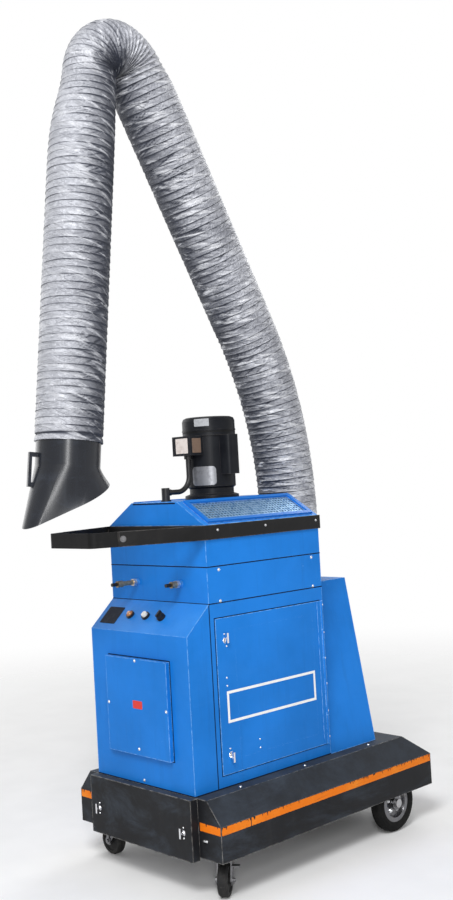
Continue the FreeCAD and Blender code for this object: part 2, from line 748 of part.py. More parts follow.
def make_door():
    """Side door pan with a piano hinge on its rear edge."""
    plate = box("door_plate_block", ("cabinet_half + slide_gap", "door_face"), ("door_front", "door_rear"),
                ("door_foot", "door_head"))
    inset = "(door_lap + door_pan_inset)"
    pan = box("door_pan", ("cabinet_half + slide_gap - door_pan_depth", "cabinet_half + slide_gap"),
              (f"door_front + {inset} + door_latch_inset", f"door_rear - {inset}"),
              (f"door_foot + {inset}", f"door_head - {inset}"))
    recess = box("door_recess", ("cabinet_half - door_pan_depth - 1", "cabinet_half + slide_gap"),
                 (f"door_front + {inset} + door_latch_inset + door_plate",
                  f"door_rear - {inset} - door_plate"),
                 (f"door_foot + {inset} + door_plate", f"door_head - {inset} - door_plate"))
    holes = [rod(f"door_latch_hole_{name}", "latch_shaft_radius + fit_gap", "4 * door_plate",
                 ("cabinet_half - door_plate", "door_front + door_latch_inset", z), "X")
             for name, z in (("upper", "door_head - door_latch_drop"),
                             ("lower", "door_foot + door_latch_lift"))]
    node(cut("side_door", fuse("door_body", plate, pan), recess, *holes), "side_door")

    knuckle = "(door_height / hinge_knuckles)"
    fixed, moving = [], []
    for index in range(SIZES["hinge_knuckles"]):
        mine, low = (fixed, moving)[index % 2], f"door_foot + {index} * {knuckle} + link_gap / 2"
        mine.append(rod(f"knuckle_{index}", "hinge_radius", f"{knuckle} - link_gap",
                        ("hinge_x", "hinge_y", low)))
        span = (low, f"{low} + {knuckle} - link_gap")
        if index % 2:
            mine.append(box(f"knuckle_tab_{index}", ("door_face", "door_face + hinge_leaf"),
                            ("door_rear - hinge_leaf", "hinge_y"), span))
        else:
            mine.append(box(f"knuckle_tab_{index}", ("cabinet_half", "cabinet_half + hinge_leaf"),
                            ("hinge_y", "hinge_y + hinge_radius + hinge_leaf"), span))
    fixed.append(box("fixed_leaf", ("cabinet_half", "cabinet_half + hinge_leaf"),
                     ("hinge_y + hinge_radius + link_gap", "body_rear - hinge_leaf"),
                     ("door_foot", "door_head")))
    moving.append(box("moving_leaf", ("door_face", "door_face + hinge_leaf"),
                      ("door_rear - 4 * hinge_radius", "hinge_y - hinge_radius - link_gap"),
                      ("door_foot", "door_head")))
    pin = rod("hinge_pin", "hinge_pin_radius", "door_height", ("hinge_x", "hinge_y", "door_foot"))
    bore = rod("hinge_bore", "hinge_pin_radius + fit_gap", "door_height", ("hinge_x", "hinge_y", "door_foot"))
    node(fuse("door_hinge_fixed", pin, fuse("fixed_half", *fixed)), "door_hinge_fixed")
    node(cut("door_hinge_moving", fuse("moving_half", *moving), bore), "door_hinge_moving")


def make_controls():
    """Lamp, push button and selector knob in bezels on the console slope."""
    turn = ((1, 0, 0), "console_angle")

    def seat(x, lift):
        """A point over the slope's middle line, a height along its normal."""
        return (x, f"slope_y - ({lift}) * sin(console_angle)", f"slope_z + ({lift}) * cos(console_angle)")

    bezels = []
    for name, x, bore in (("lamp", "lamp_x", "lamp_radius"), ("button", "button_x", "button_radius"),
                          ("knob", "knob_x", "knob_radius - 3")):
        ring = rod(name + "_ring", "bezel_radius", "bezel_height", seat(x, "0"), turn)
        hole = rod(name + "_bore", f"{bore} + fit_gap", "2 * bezel_height", seat(x, "0"), turn)
        bezels.append(cut(name + "_bezel", ring, hole))
    node(group("control_bezels", *bezels), "control_bezels")
    lamp = rod("lamp_stem", "lamp_radius", "bezel_height + 2", seat("lamp_x", "0"), turn)
    dome = cone("lamp_dome", "lamp_radius", "lamp_radius * 0.55", "6",
                seat("lamp_x", "bezel_height + 2"), turn)
    node(fuse("indicator_lamp", lamp, dome), "indicator_lamp")
    node(rod("push_button", "button_radius", "button_height",
             seat("button_x", "button_travel + slide_gap"), turn),
         "push_button")
    stem = rod("knob_stem", "knob_radius - 3", "bezel_height + 1", seat("knob_x", "slide_gap"), turn)
    cap = rod("knob_cap", "knob_radius", "knob_height - bezel_height",
              seat("knob_x", "bezel_height + slide_gap"), turn)
    bar = local_box("knob_bar", ("knob_radius / 2", "2 * knob_radius", "8"),
                    ("knob_x - knob_radius / 4",
                     "slope_y - (knob_height - 1) * sin(console_angle) - knob_radius * cos(console_angle)",
                     "slope_z + (knob_height - 1) * cos(console_angle) - knob_radius * sin(console_angle)"),
                    turn)
    node(fuse("selector_knob", stem, cap, bar), "selector_knob")


def make_motor():
    """Motor standing on the roof, its fan cover, terminal box and capacitor cover."""
    radius, high = "motor_radius", "motor_height"
    bore = "shaft_radius + fit_gap"
    frame = turned("motor_frame", [
        (bore, "0"), ("motor_foot_radius", "0"), ("motor_foot_radius", "motor_foot_height"),
        (f"{radius} - 8", "motor_foot_height + 6"), (f"{radius} - 8", "motor_foot_height + 24"),
        (radius, "motor_foot_height + 30"), (radius, f"{high} - 12"), (f"{radius} - 6", high),
        ("0", high), ("0", "shaft_seat"), (bore, "shaft_seat")], ("0", "motor_y", "roof_z"))
    node(frame, "motor_frame")
    wall = "fan_cover_radius - hinge_leaf"
    tall, bend = "fan_cover_height", "fan_cover_round"
    cover = turned("fan_cover_bowl", [
        (f"{radius} + slide_gap", "0"), ("fan_cover_radius", "0"), ("fan_cover_radius", f"{tall} - {bend}"),
        (f"fan_cover_radius - {bend} * 0.3", f"{tall} - {bend} * 0.3"), (f"fan_cover_radius - {bend}", tall),
        ("0", tall), ("0", f"{tall} - hinge_leaf"), (f"fan_cover_radius - {bend}", f"{tall} - hinge_leaf"),
        (wall, f"{tall} - {bend}"), (wall, "hinge_leaf"), (f"{radius} + slide_gap", "hinge_leaf")],
        ("0", "motor_y", f"motor_top - {bend}"))
    holes = []
    for index in range(SIZES["vent_count"]):
        angle = f"{index} * 360 / vent_count"
        spot = (f"vent_ring * cos({angle})", f"motor_y + vent_ring * sin({angle})", f"motor_top + {tall} / 2")
        holes.append(rod(f"fan_vent_{index}", "vent_radius", tall, spot))
    node(cut("motor_fan_cover", cover, *holes), "motor_fan_cover")
    saddle = rod("motor_saddle", radius, high, ("0", "motor_y", "roof_z"))
    block = box("terminal_block", ("-terminal_width / 2", "terminal_width / 2"),
                (f"motor_y - {radius} - terminal_depth + 12", "motor_y"),
                (f"motor_top - {bend} - terminal_height", f"motor_top - {bend}"))
    node(cut("motor_terminal_box", round_edges("terminal_round", block, "3", upright), saddle),
         "motor_terminal_box")
    block = box("capacitor_block", ("0", f"{radius} + capacitor_depth"),
                ("motor_y - capacitor_width / 2", "motor_y + capacitor_width / 2"),
                (f"motor_top - {bend} - capacitor_height", f"motor_top - {bend}"))
    saddle = rod("capacitor_saddle", radius, high, ("0", "motor_y", "roof_z"))
    far = lambda edge: upright(edge) and edge.BoundBox.XMin > value(radius)
    block = round_edges("capacitor_round", block, "capacitor_width * 0.3", far)
    node(cut("motor_capacitor_cover", block, saddle), "motor_capacitor_cover")


def make_rotor():
    """Motor shaft and the backward-inclined blower wheel it carries."""
    foot = "plenum_top + cabinet_wall + wheel_clear"
    shaft = rod("motor_shaft", "shaft_radius", f"roof_z + shaft_seat - slide_gap - ({foot})",
                ("0", "motor_y", foot))
    node(shaft, "motor_shaft")
    seat = ("0", "motor_y", foot)
    back = turned("wheel_back", [
        ("shaft_radius", "0"), ("hub_radius", "0"), ("hub_radius", "wheel_depth - wheel_plate"),
        ("wheel_radius", "wheel_depth - wheel_plate"), ("wheel_radius", "wheel_depth"),
        ("shaft_radius", "wheel_depth")], seat)
    shroud = turned("wheel_shroud", [
        ("blower_eye_radius", "0"), ("wheel_radius", "0"), ("wheel_radius", "wheel_plate"),
        ("blower_eye_radius", "wheel_plate")], seat)
    body = doc.addObject("PartDesign::Body", "wheel_blades")
    near, far = "blower_eye_radius * 0.8", "(wheel_radius - 1)"
    sweep = "wheel_radius * 0.4"
    blade = body.newObject("PartDesign::Pad", "blade")
    blade.Profile = outline_sketch(body, "blade_outline", "XY_Plane", [
        (near, "0"), (f"{far} * cos(blade_lean / 1.5)", sweep),
        (f"{far} * cos(blade_lean / 1.5)", f"{sweep} + 1.6 * blade_thick"), (near, "1.6 * blade_thick")])
    bind(blade, {"Length": "wheel_depth - wheel_plate / 2"})
    doc.recompute()
    ring = body.newObject("PartDesign::PolarPattern", "blade_ring")
    ring.Originals = [blade]
    ring.Axis = (plane_of(body, "Z_Axis"), [""])
    bind(ring, {"Occurrences": "blade_count"})
    body.Tip = ring
    place(body, seat)
    return back, shroud, body


def make_conduit():
    """Flexible conduit from the terminal box down and forward to an elbow on the roof."""
    start_y = "motor_y - motor_radius - terminal_depth / 2 + 12"
    start_z = "motor_top - fan_cover_round - terminal_height"
    low = "(roof_z + conduit_height)"
    bend = "conduit_bend"
    nut = "connector_radius + 4"
    drop = rod("conduit_drop", "conduit_radius", f"{start_z} - {low} - {bend} - 12",
               ("0", start_y, f"{low} + {bend}"))
    curve = doc.addObject("Part::Torus", "conduit_curve")
    bind(curve, {"Radius1": bend, "Radius2": "conduit_radius"})
    curve.Angle3 = 90
    quarter = FreeCAD.Rotation(FreeCAD.Vector(1, 0, 0), -90) * ALL_AROUND
    place(curve, ("0", f"{start_y} - {bend}", f"{low} + {bend}"), quarter)
    run = rod("conduit_run", "conduit_radius", f"conduit_reach - {bend} - connector_radius - 6",
              ("0", f"{start_y} - {bend}", low), "-Y")
    top_nut = rod("conduit_top_nut", "connector_radius", "12", ("0", start_y, f"{start_z} - 12"))
    end_y = f"{start_y} - conduit_reach"
    elbow = rod("conduit_elbow", "connector_radius", f"{low} + connector_radius + 2 - roof_z",
                ("0", end_y, "roof_z"))
    side = rod("conduit_side", "conduit_radius + 2", "connector_radius + 8", ("0", end_y, low), "Y")
    lock = rod("conduit_lock_nut", nut, "5", ("0", end_y, "roof_z"))
    whole = fuse("motor_conduit", drop, curve, run, top_nut, elbow, side, lock)
    node(whole, "motor_conduit")


def make_rails():
    """Flat push rails along both sides, the front band between them and the bent grip."""
    half, thick = "cabinet_half", "rail_thick"
    tip = "cabinet_half - rail_converge"
    rear, front = "body_rear + rail_overhang", f"body_front - {thick}"
    foot = ("0", "0", "rail_foot")
    rails = []
    for side, sign in (("right", 1), ("left", -1)):
        outline = [(half, rear), (half, front), (tip, "rail_end"), (f"{tip} + {thick}", "rail_end"),
                   (f"{half} + {thick}", front), (f"{half} + {thick}", rear)]
        loop = [(f"{sign} * ({x})", y) for x, y in outline]
        rails.append(prism(f"rail_{side}", "XY_Plane", loop, "rail_height", foot))
    band = box("front_band", (f"-{half}", half), (front, "body_front"), ("rail_foot", "rail_top"))
    node(group("push_rails", *rails, band), "push_rails")

    slope = f"(rail_converge / (rail_reach - {thick}))"
    lap_x, lap_y = f"{tip} + grip_lap * {slope}", "rail_end + grip_lap"
    bend_x, bend_y = f"{tip} - grip_reach * {slope}", "rail_end - grip_reach"

    def bow(name, inset, back, low, high, corner):
        """A block between the rails, narrower to the front, with its two front corners rounded."""
        wide, narrow = f"({lap_x} - {inset})", f"({bend_x} - {inset})"
        block = prism(name + "_block", "XY_Plane", [
            (wide, f"{lap_y} + {back}"), (narrow, f"{bend_y} + {inset}"),
            (f"-{narrow}", f"{bend_y} + {inset}"), (f"-{wide}", f"{lap_y} + {back}")],
            f"{high} - ({low})", ("0", "0", low))
        limit = value(bend_y) + value("grip_corner")
        return round_edges(name, block, corner,
                           lambda edge: upright(edge) and edge.BoundBox.YMax < limit)

    outside = bow("grip_outside", "0", "0", "rail_foot", "rail_top", "grip_corner")
    inside = bow("grip_inside", thick, "1", "rail_foot - 1", "rail_top + 1", f"grip_corner - {thick}")
    node(cut("handle_grip", outside, inside), "handle_grip")


def make_air_couplings():
    """Compressed-air couplings on the front of the plenum: bush, six-sided nut, sleeve and plug."""
    couplings = []
    for side in ("left", "right"):
        x, z, length = f"air_{side}_x", "cabinet_top + air_height", f"air_{side}_length"
        sleeve_end = f"body_front - {length} + air_plug_length"
        bush = rod(f"air_{side}_bush", "air_nut_radius - 1", "air_nut_radius", (x, "body_front", z), "-Y")
        nut = doc.addObject("Part::Prism", f"air_{side}_nut")
        nut.Polygon = 6
        bind(nut, {"Circumradius": "air_nut_radius + 1", "Height": "air_nut_radius"})
        place(nut, (x, "body_front - air_nut_radius", z), AXES["-Y"])
        body = rod(f"air_{side}_body", "air_body_radius", f"{length} - air_plug_length",
                   (x, "body_front", z), "-Y")
        sleeve = rod(f"air_{side}_sleeve", "air_nut_radius - 1", "air_plug_length",
                     (x, f"{sleeve_end} + air_plug_length", z), "-Y")
        plug = rod(f"air_{side}_plug", "air_plug_radius", "air_plug_length", (x, sleeve_end, z), "-Y")
        couplings.append(fuse(f"air_{side}", bush, nut, body, sleeve, plug))
    node(group("air_couplings", *couplings), "air_couplings")


def make_filter():
    """Tube sheet with its yoke rod, the pleated cartridge and the pulse air header."""
    half, wall = "cabinet_half - cabinet_wall", "cabinet_wall"
    top, drop = "filter_top", "filter_height"
    sheet = box("tube_plate", (f"-({half})", half), (f"body_front + {wall}", f"body_rear - {wall}"),
                (top, "cabinet_top"))
    bore = rod("tube_bore", "filter_core_radius", f"3 * {wall}", ("0", "body_middle", f"{top} - {wall}"))
    yoke = box("yoke_bar", ("-filter_core_radius - 12", "filter_core_radius + 12"),
               ("body_middle - 10", "body_middle + 10"), (top, "cabinet_top"))
    yoke_rod = rod("yoke_rod", "yoke_rod_radius", f"{drop} + 40",
                   ("0", "body_middle", f"{top} - {drop} - 40"))
    node(fuse("tube_sheet", cut("tube_ring", sheet, bore), yoke, yoke_rod), "tube_sheet")

    body = doc.addObject("PartDesign::Body", "pleat_pack")
    profile = outline_sketch(body, "pack_profile", "XZ_Plane", [
        ("filter_core_radius", "filter_cap"), ("filter_radius - 3", "filter_cap"),
        ("filter_radius - 3", f"{drop} - filter_cap"), ("filter_core_radius", f"{drop} - filter_cap")])
    pack = body.newObject("PartDesign::Revolution", "pack_turn")
    pack.Profile = profile
    pack.ReferenceAxis = (profile, ["V_Axis"])
    pack.Angle = 360
    notch = "(3.14159 * filter_radius / filter_pleats * 0.7)"
    pleat = body.newObject("PartDesign::Pocket", "pleat")
    pleat.Profile = outline_sketch(body, "pleat_outline", "XY_Plane", [
        ("filter_radius - pleat_depth", "0"), ("filter_radius", notch), ("filter_radius", f"-{notch}")])
    pleat.Type = "ThroughAll"
    pleat.SideType = "Symmetric"
    doc.recompute()
    pleats = body.newObject("PartDesign::PolarPattern", "pleats")
    pleats.Originals = [pleat]
    pleats.Axis = (plane_of(body, "Z_Axis"), [""])
    bind(pleats, {"Occurrences": "filter_pleats"})
    body.Tip = pleats
    seat = ("0", "body_middle", f"{top} - {drop}")
    place(body, seat)
    foot = turned("filter_foot", [("yoke_rod_radius", "0"), ("filter_radius", "0"),
                                  ("filter_radius", "filter_cap"),
                                  ("yoke_rod_radius", "filter_cap")], seat)
    head = turned("filter_head", [("filter_core_radius", "0"), ("filter_radius", "0"),
                                  ("filter_radius", "filter_cap"), ("filter_core_radius", "filter_cap")],
                  ("0", "body_middle", f"{top} - filter_cap"))
    node(fuse("filter_cartridge", body, foot, head), "filter_cartridge")

    tank_y, tank_z = "body_front + 2 * header_radius", "cabinet_top + air_height"
    tank = rod("header_tank", "header_radius", f"2 * ({half})", (f"-({half})", tank_y, tank_z), "X")
    pipe = rod("header_pipe", "air_body_radius", f"body_middle - ({tank_y})", ("0", tank_y, tank_z), "Y")
    hollow = rod("header_hollow", "header_radius - header_wall", f"2 * ({half} - header_wall)",
                 (f"header_wall - ({half})", tank_y, tank_z), "X")
    node(cut("pulse_air_header", fuse("header_body", tank, pipe), hollow), "pulse_air_header")


def make_rear_wheels():
    """Axle on two hangers, with a rim and a tyre on each end."""
    centre = "rear_wheel_radius"
    hangers = []
    for side, sign in (("right", 1), ("left", -1)):
        low = "bracket_x" if sign > 0 else "-bracket_x - bracket_thick"
        plate = box(f"hanger_{side}_plate", (low, f"{low} + bracket_thick"),
                    ("wheel_y - bracket_width / 2", "wheel_y + bracket_width / 2"),
                    (f"{centre} - axle_boss * 1.4", "deck_z - chassis_wall"))
        hole = rod(f"hanger_{side}_hole", "axle_radius", "3 * bracket_thick",
                   (f"{low} - bracket_thick", "wheel_y", centre), "X")
        hangers.append(cut(f"hanger_{side}", plate, hole))
    node(group("axle_hangers", *hangers), "axle_hangers")

    half = "rear_wheel_width / 2"
    out = f"rear_wheel_x + {half}"
    shaft = rod("axle_shaft", "axle_radius", f"2 * ({out} + 8)", (f"-({out} + 8)", "wheel_y", centre), "X")
    collars = []
    for side, sign in (("right", 1), ("left", -1)):
        near, far = "bracket_x + bracket_thick", f"rear_wheel_x - {half} - slide_gap"
        low = near if sign > 0 else f"-({far})"
        collars.append(rod(f"axle_{side}_spacer", "axle_boss", f"({far}) - ({near})",
                           (low, "wheel_y", centre), "X"))
        low = f"{out} + slide_gap" if sign > 0 else f"-({out} + 8)"
        collars.append(rod(f"axle_{side}_nut", "axle_boss", "8 - slide_gap", (low, "wheel_y", centre), "X"))
    node(fuse("rear_axle", shaft, *collars), "rear_axle")

    bead, lip, tyre = "rim_radius", "rim_lip", "rear_wheel_radius"
    for side, sign in (("right", 1), ("left", -1)):
        seat = (f"{sign} * rear_wheel_x", "wheel_y", centre)
        rim = turned(f"rear_rim_{side}", [
            ("axle_radius + fit_gap", f"-{half}"), ("axle_boss * 1.6", f"-{half}"), ("axle_boss * 1.6", "-6"),
            (f"{bead} - 16", "-6"), (f"{bead} - 10", f"6 - {half}"), (f"{bead} + {lip}", f"6 - {half}"),
            (f"{bead} + {lip}", f"9 - {half}"), (f"{bead} - {lip}", f"12 - {half}"),
            (f"{bead} - {lip}", f"{half} - 12"), (f"{bead} + {lip}", f"{half} - 9"),
            (f"{bead} + {lip}", f"{half} - 6"), (f"{bead} - 10", f"{half} - 6"), (f"{bead} - 16", "6"),
            ("axle_boss * 1.6", "6"), ("axle_boss * 1.6", half), ("axle_radius + fit_gap", half)],
            seat, AXES["X"])
        node(rim, f"rear_rim_{side}")
        rubber = turned(f"rear_tyre_{side}", [
            (f"{bead} - {lip}", f"12 - {half}"), (f"{bead} + {lip}", f"9 - {half}"),
            (f"{bead} + {lip}", f"6 - {half}"), (f"{bead} + 2 * {lip}", f"2 - {half}"),
            (f"{tyre} - 22", f"-{half}"), (f"{tyre} - 9", f"2 - {half}"),
            (f"{tyre} - 2", f"10 - {half}"), (tyre, "-6"), (tyre, "6"), (f"{tyre} - 2", f"{half} - 10"),
            (f"{tyre} - 9", f"{half} - 2"), (f"{tyre} - 22", half), (f"{bead} + 2 * {lip}", f"{half} - 2"),
            (f"{bead} + {lip}", f"{half} - 6"), (f"{bead} + {lip}", f"{half} - 9"),
            (f"{bead} - {lip}", f"{half} - 12")],
            seat, AXES["X"])
        node(rubber, f"rear_tyre_{side}")


def make_casters():
    """Swivel casters at the front, each with a plate, fork, wheel and brake lever."""
    plates = []
    for side, sign in (("right", 1), ("left", -1)):
        x, y = f"{sign} * caster_x", "chassis_y + caster_y"
        half = "caster_plate_size / 2"
        top, plate_foot = "chassis_clear", "chassis_clear - caster_plate_thick"
        plate = box(f"plate_{side}_block", (f"{x} - {half}", f"{x} + {half}"),
                    (f"{y} - {half}", f"{y} + {half}"),
                    (plate_foot, top))
        hole = rod(f"plate_{side}_hole", "swivel_radius + fit_gap", "3 * caster_plate_thick",
                   (x, y, f"{plate_foot} - caster_plate_thick"))
        plates.append(cut(f"plate_{side}", plate, hole))
        make_caster(side, (x, y, "0"), ((0, 0, 1), f"caster_turn_{side}"))
    node(group("caster_plates", *plates), "caster_plates")


def make_caster(side, at, turn):
    """One caster in its own frame: swivel axis on Z, the wheel trailing along +Y."""
    reach = "caster_width / 2 + fork_gap"
    crown = "chassis_clear - caster_plate_thick - slide_gap"
    outer = f"({reach} + fork_thick)"
    cheek = [("-fork_top_radius * 0.8", f"{crown} - 6"), ("caster_trail - fork_foot_radius", "caster_radius"),
             ("caster_trail - fork_foot_radius * 0.5", "caster_radius - fork_foot_radius"),
             ("caster_trail + fork_foot_radius * 0.5", "caster_radius - fork_foot_radius"),
             ("caster_trail + fork_foot_radius", "caster_radius"), ("fork_top_radius * 0.9", f"{crown} - 6")]
    cheeks = prism(f"fork_{side}_cheeks", "YZ_Plane", cheek, f"2 * {outer}", middle=True)
    gap = prism(f"fork_{side}_gap", "YZ_Plane",
                [("-2 * fork_top_radius", "0"), ("4 * fork_top_radius", "0"),
                 ("4 * fork_top_radius", f"{crown} - 10"), ("-2 * fork_top_radius", f"{crown} - 10")],
                f"2 * ({reach})", middle=True)
    disc = rod(f"fork_{side}_disc", "fork_top_radius", "10", ("0", "0", f"{crown} - 10"))
    king = rod(f"fork_{side}_king", "swivel_radius", "caster_plate_thick + slide_gap", ("0", "0", crown))
    axle = rod(f"fork_{side}_axle", "caster_axle_radius", f"2 * {outer} + 12",
               (f"-{outer} - 9", "caster_trail", "caster_radius"), "X")
    head = rod(f"fork_{side}_head", "caster_axle_radius + 4", "5",
               (outer, "caster_trail", "caster_radius"), "X")
    fork = fuse(f"caster_fork_{side}", cut(f"fork_{side}_legs", cheeks, gap), disc, king, axle, head)
    node(place(fork, at, turn), f"caster_fork_{side}")

    half, radius = "caster_width / 2", "caster_radius"
    bore = "caster_axle_radius + fit_gap"
    wheel = turned(f"wheel_{side}", [
        (bore, f"-{half} - 2"), ("caster_axle_radius + 7", f"-{half} - 2"),
        ("caster_axle_radius + 7", f"4 - {half}"),
        (f"{radius} - 16", f"4 - {half}"), (f"{radius} - 14", f"-{half}"), (f"{radius} - 5", f"-{half}"),
        (radius, f"6 - {half}"), (radius, f"{half} - 6"), (f"{radius} - 5", half), (f"{radius} - 14", half),
        (f"{radius} - 16", f"{half} - 4"), ("caster_axle_radius + 7", f"{half} - 4"),
        ("caster_axle_radius + 7", f"{half} + 2"), (bore, f"{half} + 2")],
        ("0", "caster_trail", "caster_radius"), AXES["X"])
    node(place(group(f"caster_wheel_{side}", wheel), at, turn), f"caster_wheel_{side}")

    ring = rod(f"brake_{side}_eye", "caster_axle_radius + 6", "brake_thick",
               (f"-{outer} - slide_gap - brake_thick", "caster_trail", "caster_radius"), "X")
    arm = box(f"brake_{side}_arm", (f"-{outer} - slide_gap - brake_thick", f"-{outer} - slide_gap"),
              ("caster_trail - brake_width / 3", "caster_trail + brake_width / 3"),
              ("caster_radius", "caster_radius + brake_length * 0.75"))
    pedal = box(f"brake_{side}_pedal",
                (f"-{outer} - slide_gap - brake_length * 0.4", f"-{outer} - slide_gap"),
                ("caster_trail - brake_width / 2", "caster_trail + brake_width / 2"),
                ("caster_radius + brake_length * 0.75 - brake_thick", "caster_radius + brake_length * 0.75"))
    eye = rod(f"brake_{side}_bore", "caster_axle_radius + fit_gap", "4 * brake_thick",
              (f"-{outer} - 3 * brake_thick", "caster_trail", "caster_radius"), "X")
    lever = cut(f"brake_lever_{side}", fuse(f"brake_{side}_body", ring, arm, pedal), eye)
    node(place(lever, at, turn), f"brake_lever_{side}")


def tube(name, radius, wall, length, at, turn):
    """A plain round tube from a point along a direction."""
    outside = rod(name + "_outside", radius, length, at, turn)
    inside = rod(name + "_inside", f"{radius} - {wall}", length, at, turn)
    return cut(name, outside, inside)


def bent_tube(name, bend, radius, wall, angle, at, start):
    """A tube round an arc in the plane of the arm, from an angle above +Y."""
    rings = []
    for part, size in (("outside", radius), ("inside", f"{radius} - {wall}")):
        ring = doc.addObject("Part::Torus", f"{name}_{part}")
        bind(ring, {"Radius1": bend, "Radius2": size, "Angle3": angle})
        rings.append(place(ring, at, FreeCAD.Rotation(FreeCAD.Vector(1, 0, 0), value(start)) * ALL_AROUND))
    return cut(name, *rings)


def make_hose():
    """The fabric hose in its parts: riser, shoulder bend, lower run, elbow fold, upper run, wrist."""
    size = ("hose_radius", "hose_wall")
    lean = ((1, 0, 0), "lower_lean")
    fall = ((1, 0, 0), "180 - upper_lean")
    hub = ("0", "riser_y - shoulder_bend", "shoulder_z - bend_run")
    riser = tube("hose_riser", *size, "shoulder_z - bend_run - hose_foot", ("0", "riser_y", "hose_foot"), "Z")
    start = bent_tube("hose_riser_bend", "shoulder_bend", *size, "shoulder_start", hub, "0")
    node(fuse("hose_base", riser, start), "hose_base")
    node(bent_tube("hose_shoulder", "shoulder_bend", *size, "lower_lean - shoulder_start", hub,
                   "shoulder_start"), "hose_shoulder")
    run_start = ("0", "riser_y - bend_run * sin(lower_lean)", "shoulder_z + bend_run * cos(lower_lean)")
    node(tube("hose_lower", *size, "lower_run - bend_run", run_start, lean), "hose_lower")
    node(bent_tube("hose_elbow", "elbow_bend", *size, "elbow_turn", ("0", "elbow_y", "elbow_z"),
                   "lower_lean"), "hose_elbow")
    node(tube("hose_upper", *size, "upper_run", ("0", "upper_y", "upper_z"), fall), "hose_upper")
    cuff = ("0", "upper_y - upper_run * sin(upper_lean)", "upper_z - upper_run * cos(upper_lean)")
    node(tube("hose_wrist", *size, "wrist_run + hood_collar_length / 2", cuff, fall), "hose_wrist")


def make_arm():
    """The arm inside the hose: fixed collar, turret with its post, two pairs of links."""
    seat = ("0", "riser_y", "duct_top")
    core, wall = "collar_radius", "hose_wall"
    collar = turned("arm_collar", [
        (f"{core} - {wall}", "0"), ("collar_flange_radius", "0"), ("collar_flange_radius", "collar_flange"),
        (core, "collar_flange"), (core, "collar_height"), (f"{core} - {wall}", "collar_height")], seat)
    node(collar, "arm_collar")

    low, high = "duct_top + collar_flange + slide_gap", "duct_top + collar_height + slide_gap"
    bore = "hose_radius - hose_wall"
    sleeve = turned("turret_sleeve", [
        (f"{core} + slide_gap", low), (bore, low), (bore, f"{low} + turret_height"),
        (f"{core} - 2 * {wall}", f"{low} + turret_height"), (f"{core} - 2 * {wall}", high),
        (f"{core} + slide_gap", high)], ("0", "riser_y", "0"))
    brace = box("turret_brace", ("-post_width / 2", "post_width / 2"),
                (f"riser_y - {core} + {wall}", f"riser_y + {core} - {wall}"), (high, f"{high} + post_depth"))
    ears = ("link_inner", "link_inner + link_thick")
    post = box("turret_post", ("-link_inner - link_thick", "link_inner + link_thick"),
               ("riser_y - post_depth / 2", "riser_y + post_depth / 2"), (high, "shoulder_z - post_depth"))
    plates = []
    for side, sign in (("right", 1), ("left", -1)):
        span = ears if sign > 0 else tuple(f"-({text})" for text in ears[::-1])
        plates.append(box(f"turret_ear_{side}", span,
                          ("riser_y - link_width / 2", "riser_y + link_width / 2"),
                          ("shoulder_z - post_depth - 1", "shoulder_z + link_width / 2")))
    hole = rod("turret_pin_hole", "arm_pin_radius + fit_gap", "8 * link_thick + 2 * link_inner",
               ("-4 * link_thick - link_inner", "riser_y", "shoulder_z"), "X")
    node(cut("arm_turret", fuse("turret_body", sleeve, brace, post, *plates), hole), "arm_turret")

    outer_low = "link_inner + link_thick + link_gap"
    node(make_links("lower_arm", ("riser_y", "shoulder_z"), ("pivot_y", "pivot_z"), outer_low,
                    ("arm_pin_radius", "arm_pin_radius"), ()), "lower_arm")
    node(make_links("upper_arm", ("pivot_y", "pivot_z"), ("wrist_y", "wrist_z"), "link_inner",
                    (None, "wrist_pin_radius"), ("arm_pin_radius + fit_gap",)), "upper_arm")


def make_links(name, start, end, inner, pins, bores):
    """Two flat bars between a pair of pivots, tied by spacers, with their pins."""
    run = (f"({end[0]} - ({start[0]}))", f"({end[1]} - ({start[1]}))")
    length = f"sqrt({run[0]} ^ 2 + {run[1]} ^ 2)"
    lean = math.degrees(math.atan2(-value(run[0]), value(run[1])))
    turn = FreeCAD.Rotation(FreeCAD.Vector(1, 0, 0), lean)
    at = ("0", start[0], start[1])
    half = "link_width / 2"
    outer = f"({inner} + link_thick)"
    side = prism(name + "_bars", "YZ_Plane", [
        (f"-{half}", "0"), (f"-{half} * 0.5", f"-{half}"), (f"{half} * 0.5", f"-{half}"), (half, "0"),
        (half, length), (f"{half} * 0.5", f"{length} + {half}"), (f"-{half} * 0.5", f"{length} + {half}"),
        (f"-{half}", length)],
        f"2 * {outer}", middle=True)
    gaps, last = [], "-link_width"
    for index, share in enumerate(("0.25", "0.75")):
        gaps.append(prism(f"{name}_gap_{index}", "YZ_Plane", [
            ("-link_width", last), ("link_width", last), ("link_width", f"{share} * {length} - link_width"),
            ("-link_width", f"{share} * {length} - link_width")], f"2 * ({inner})", middle=True))
        last = f"{share} * {length}"
    gaps.append(prism(f"{name}_gap_end", "YZ_Plane", [
        ("-link_width", last), ("link_width", last), ("link_width", f"{length} + link_width"),
        ("-link_width", f"{length} + link_width")], f"2 * ({inner})", middle=True))
    for index, bore in enumerate(bores):
        gaps.append(rod(f"{name}_bore_{index}", bore, f"4 * {outer}", (f"-2 * {outer}", "0", "0"), "X"))
    pieces = [cut(name + "_sides", side, *gaps)]
    for index, pin in enumerate(pins):
        if pin:
            pieces.append(rod(f"{name}_pin_{index}", pin, f"2 * {outer} + 6",
                              (f"-{outer} - 3", "0", length if index else "0"), "X"))
    return place(fuse(name, *pieces), at, turn)


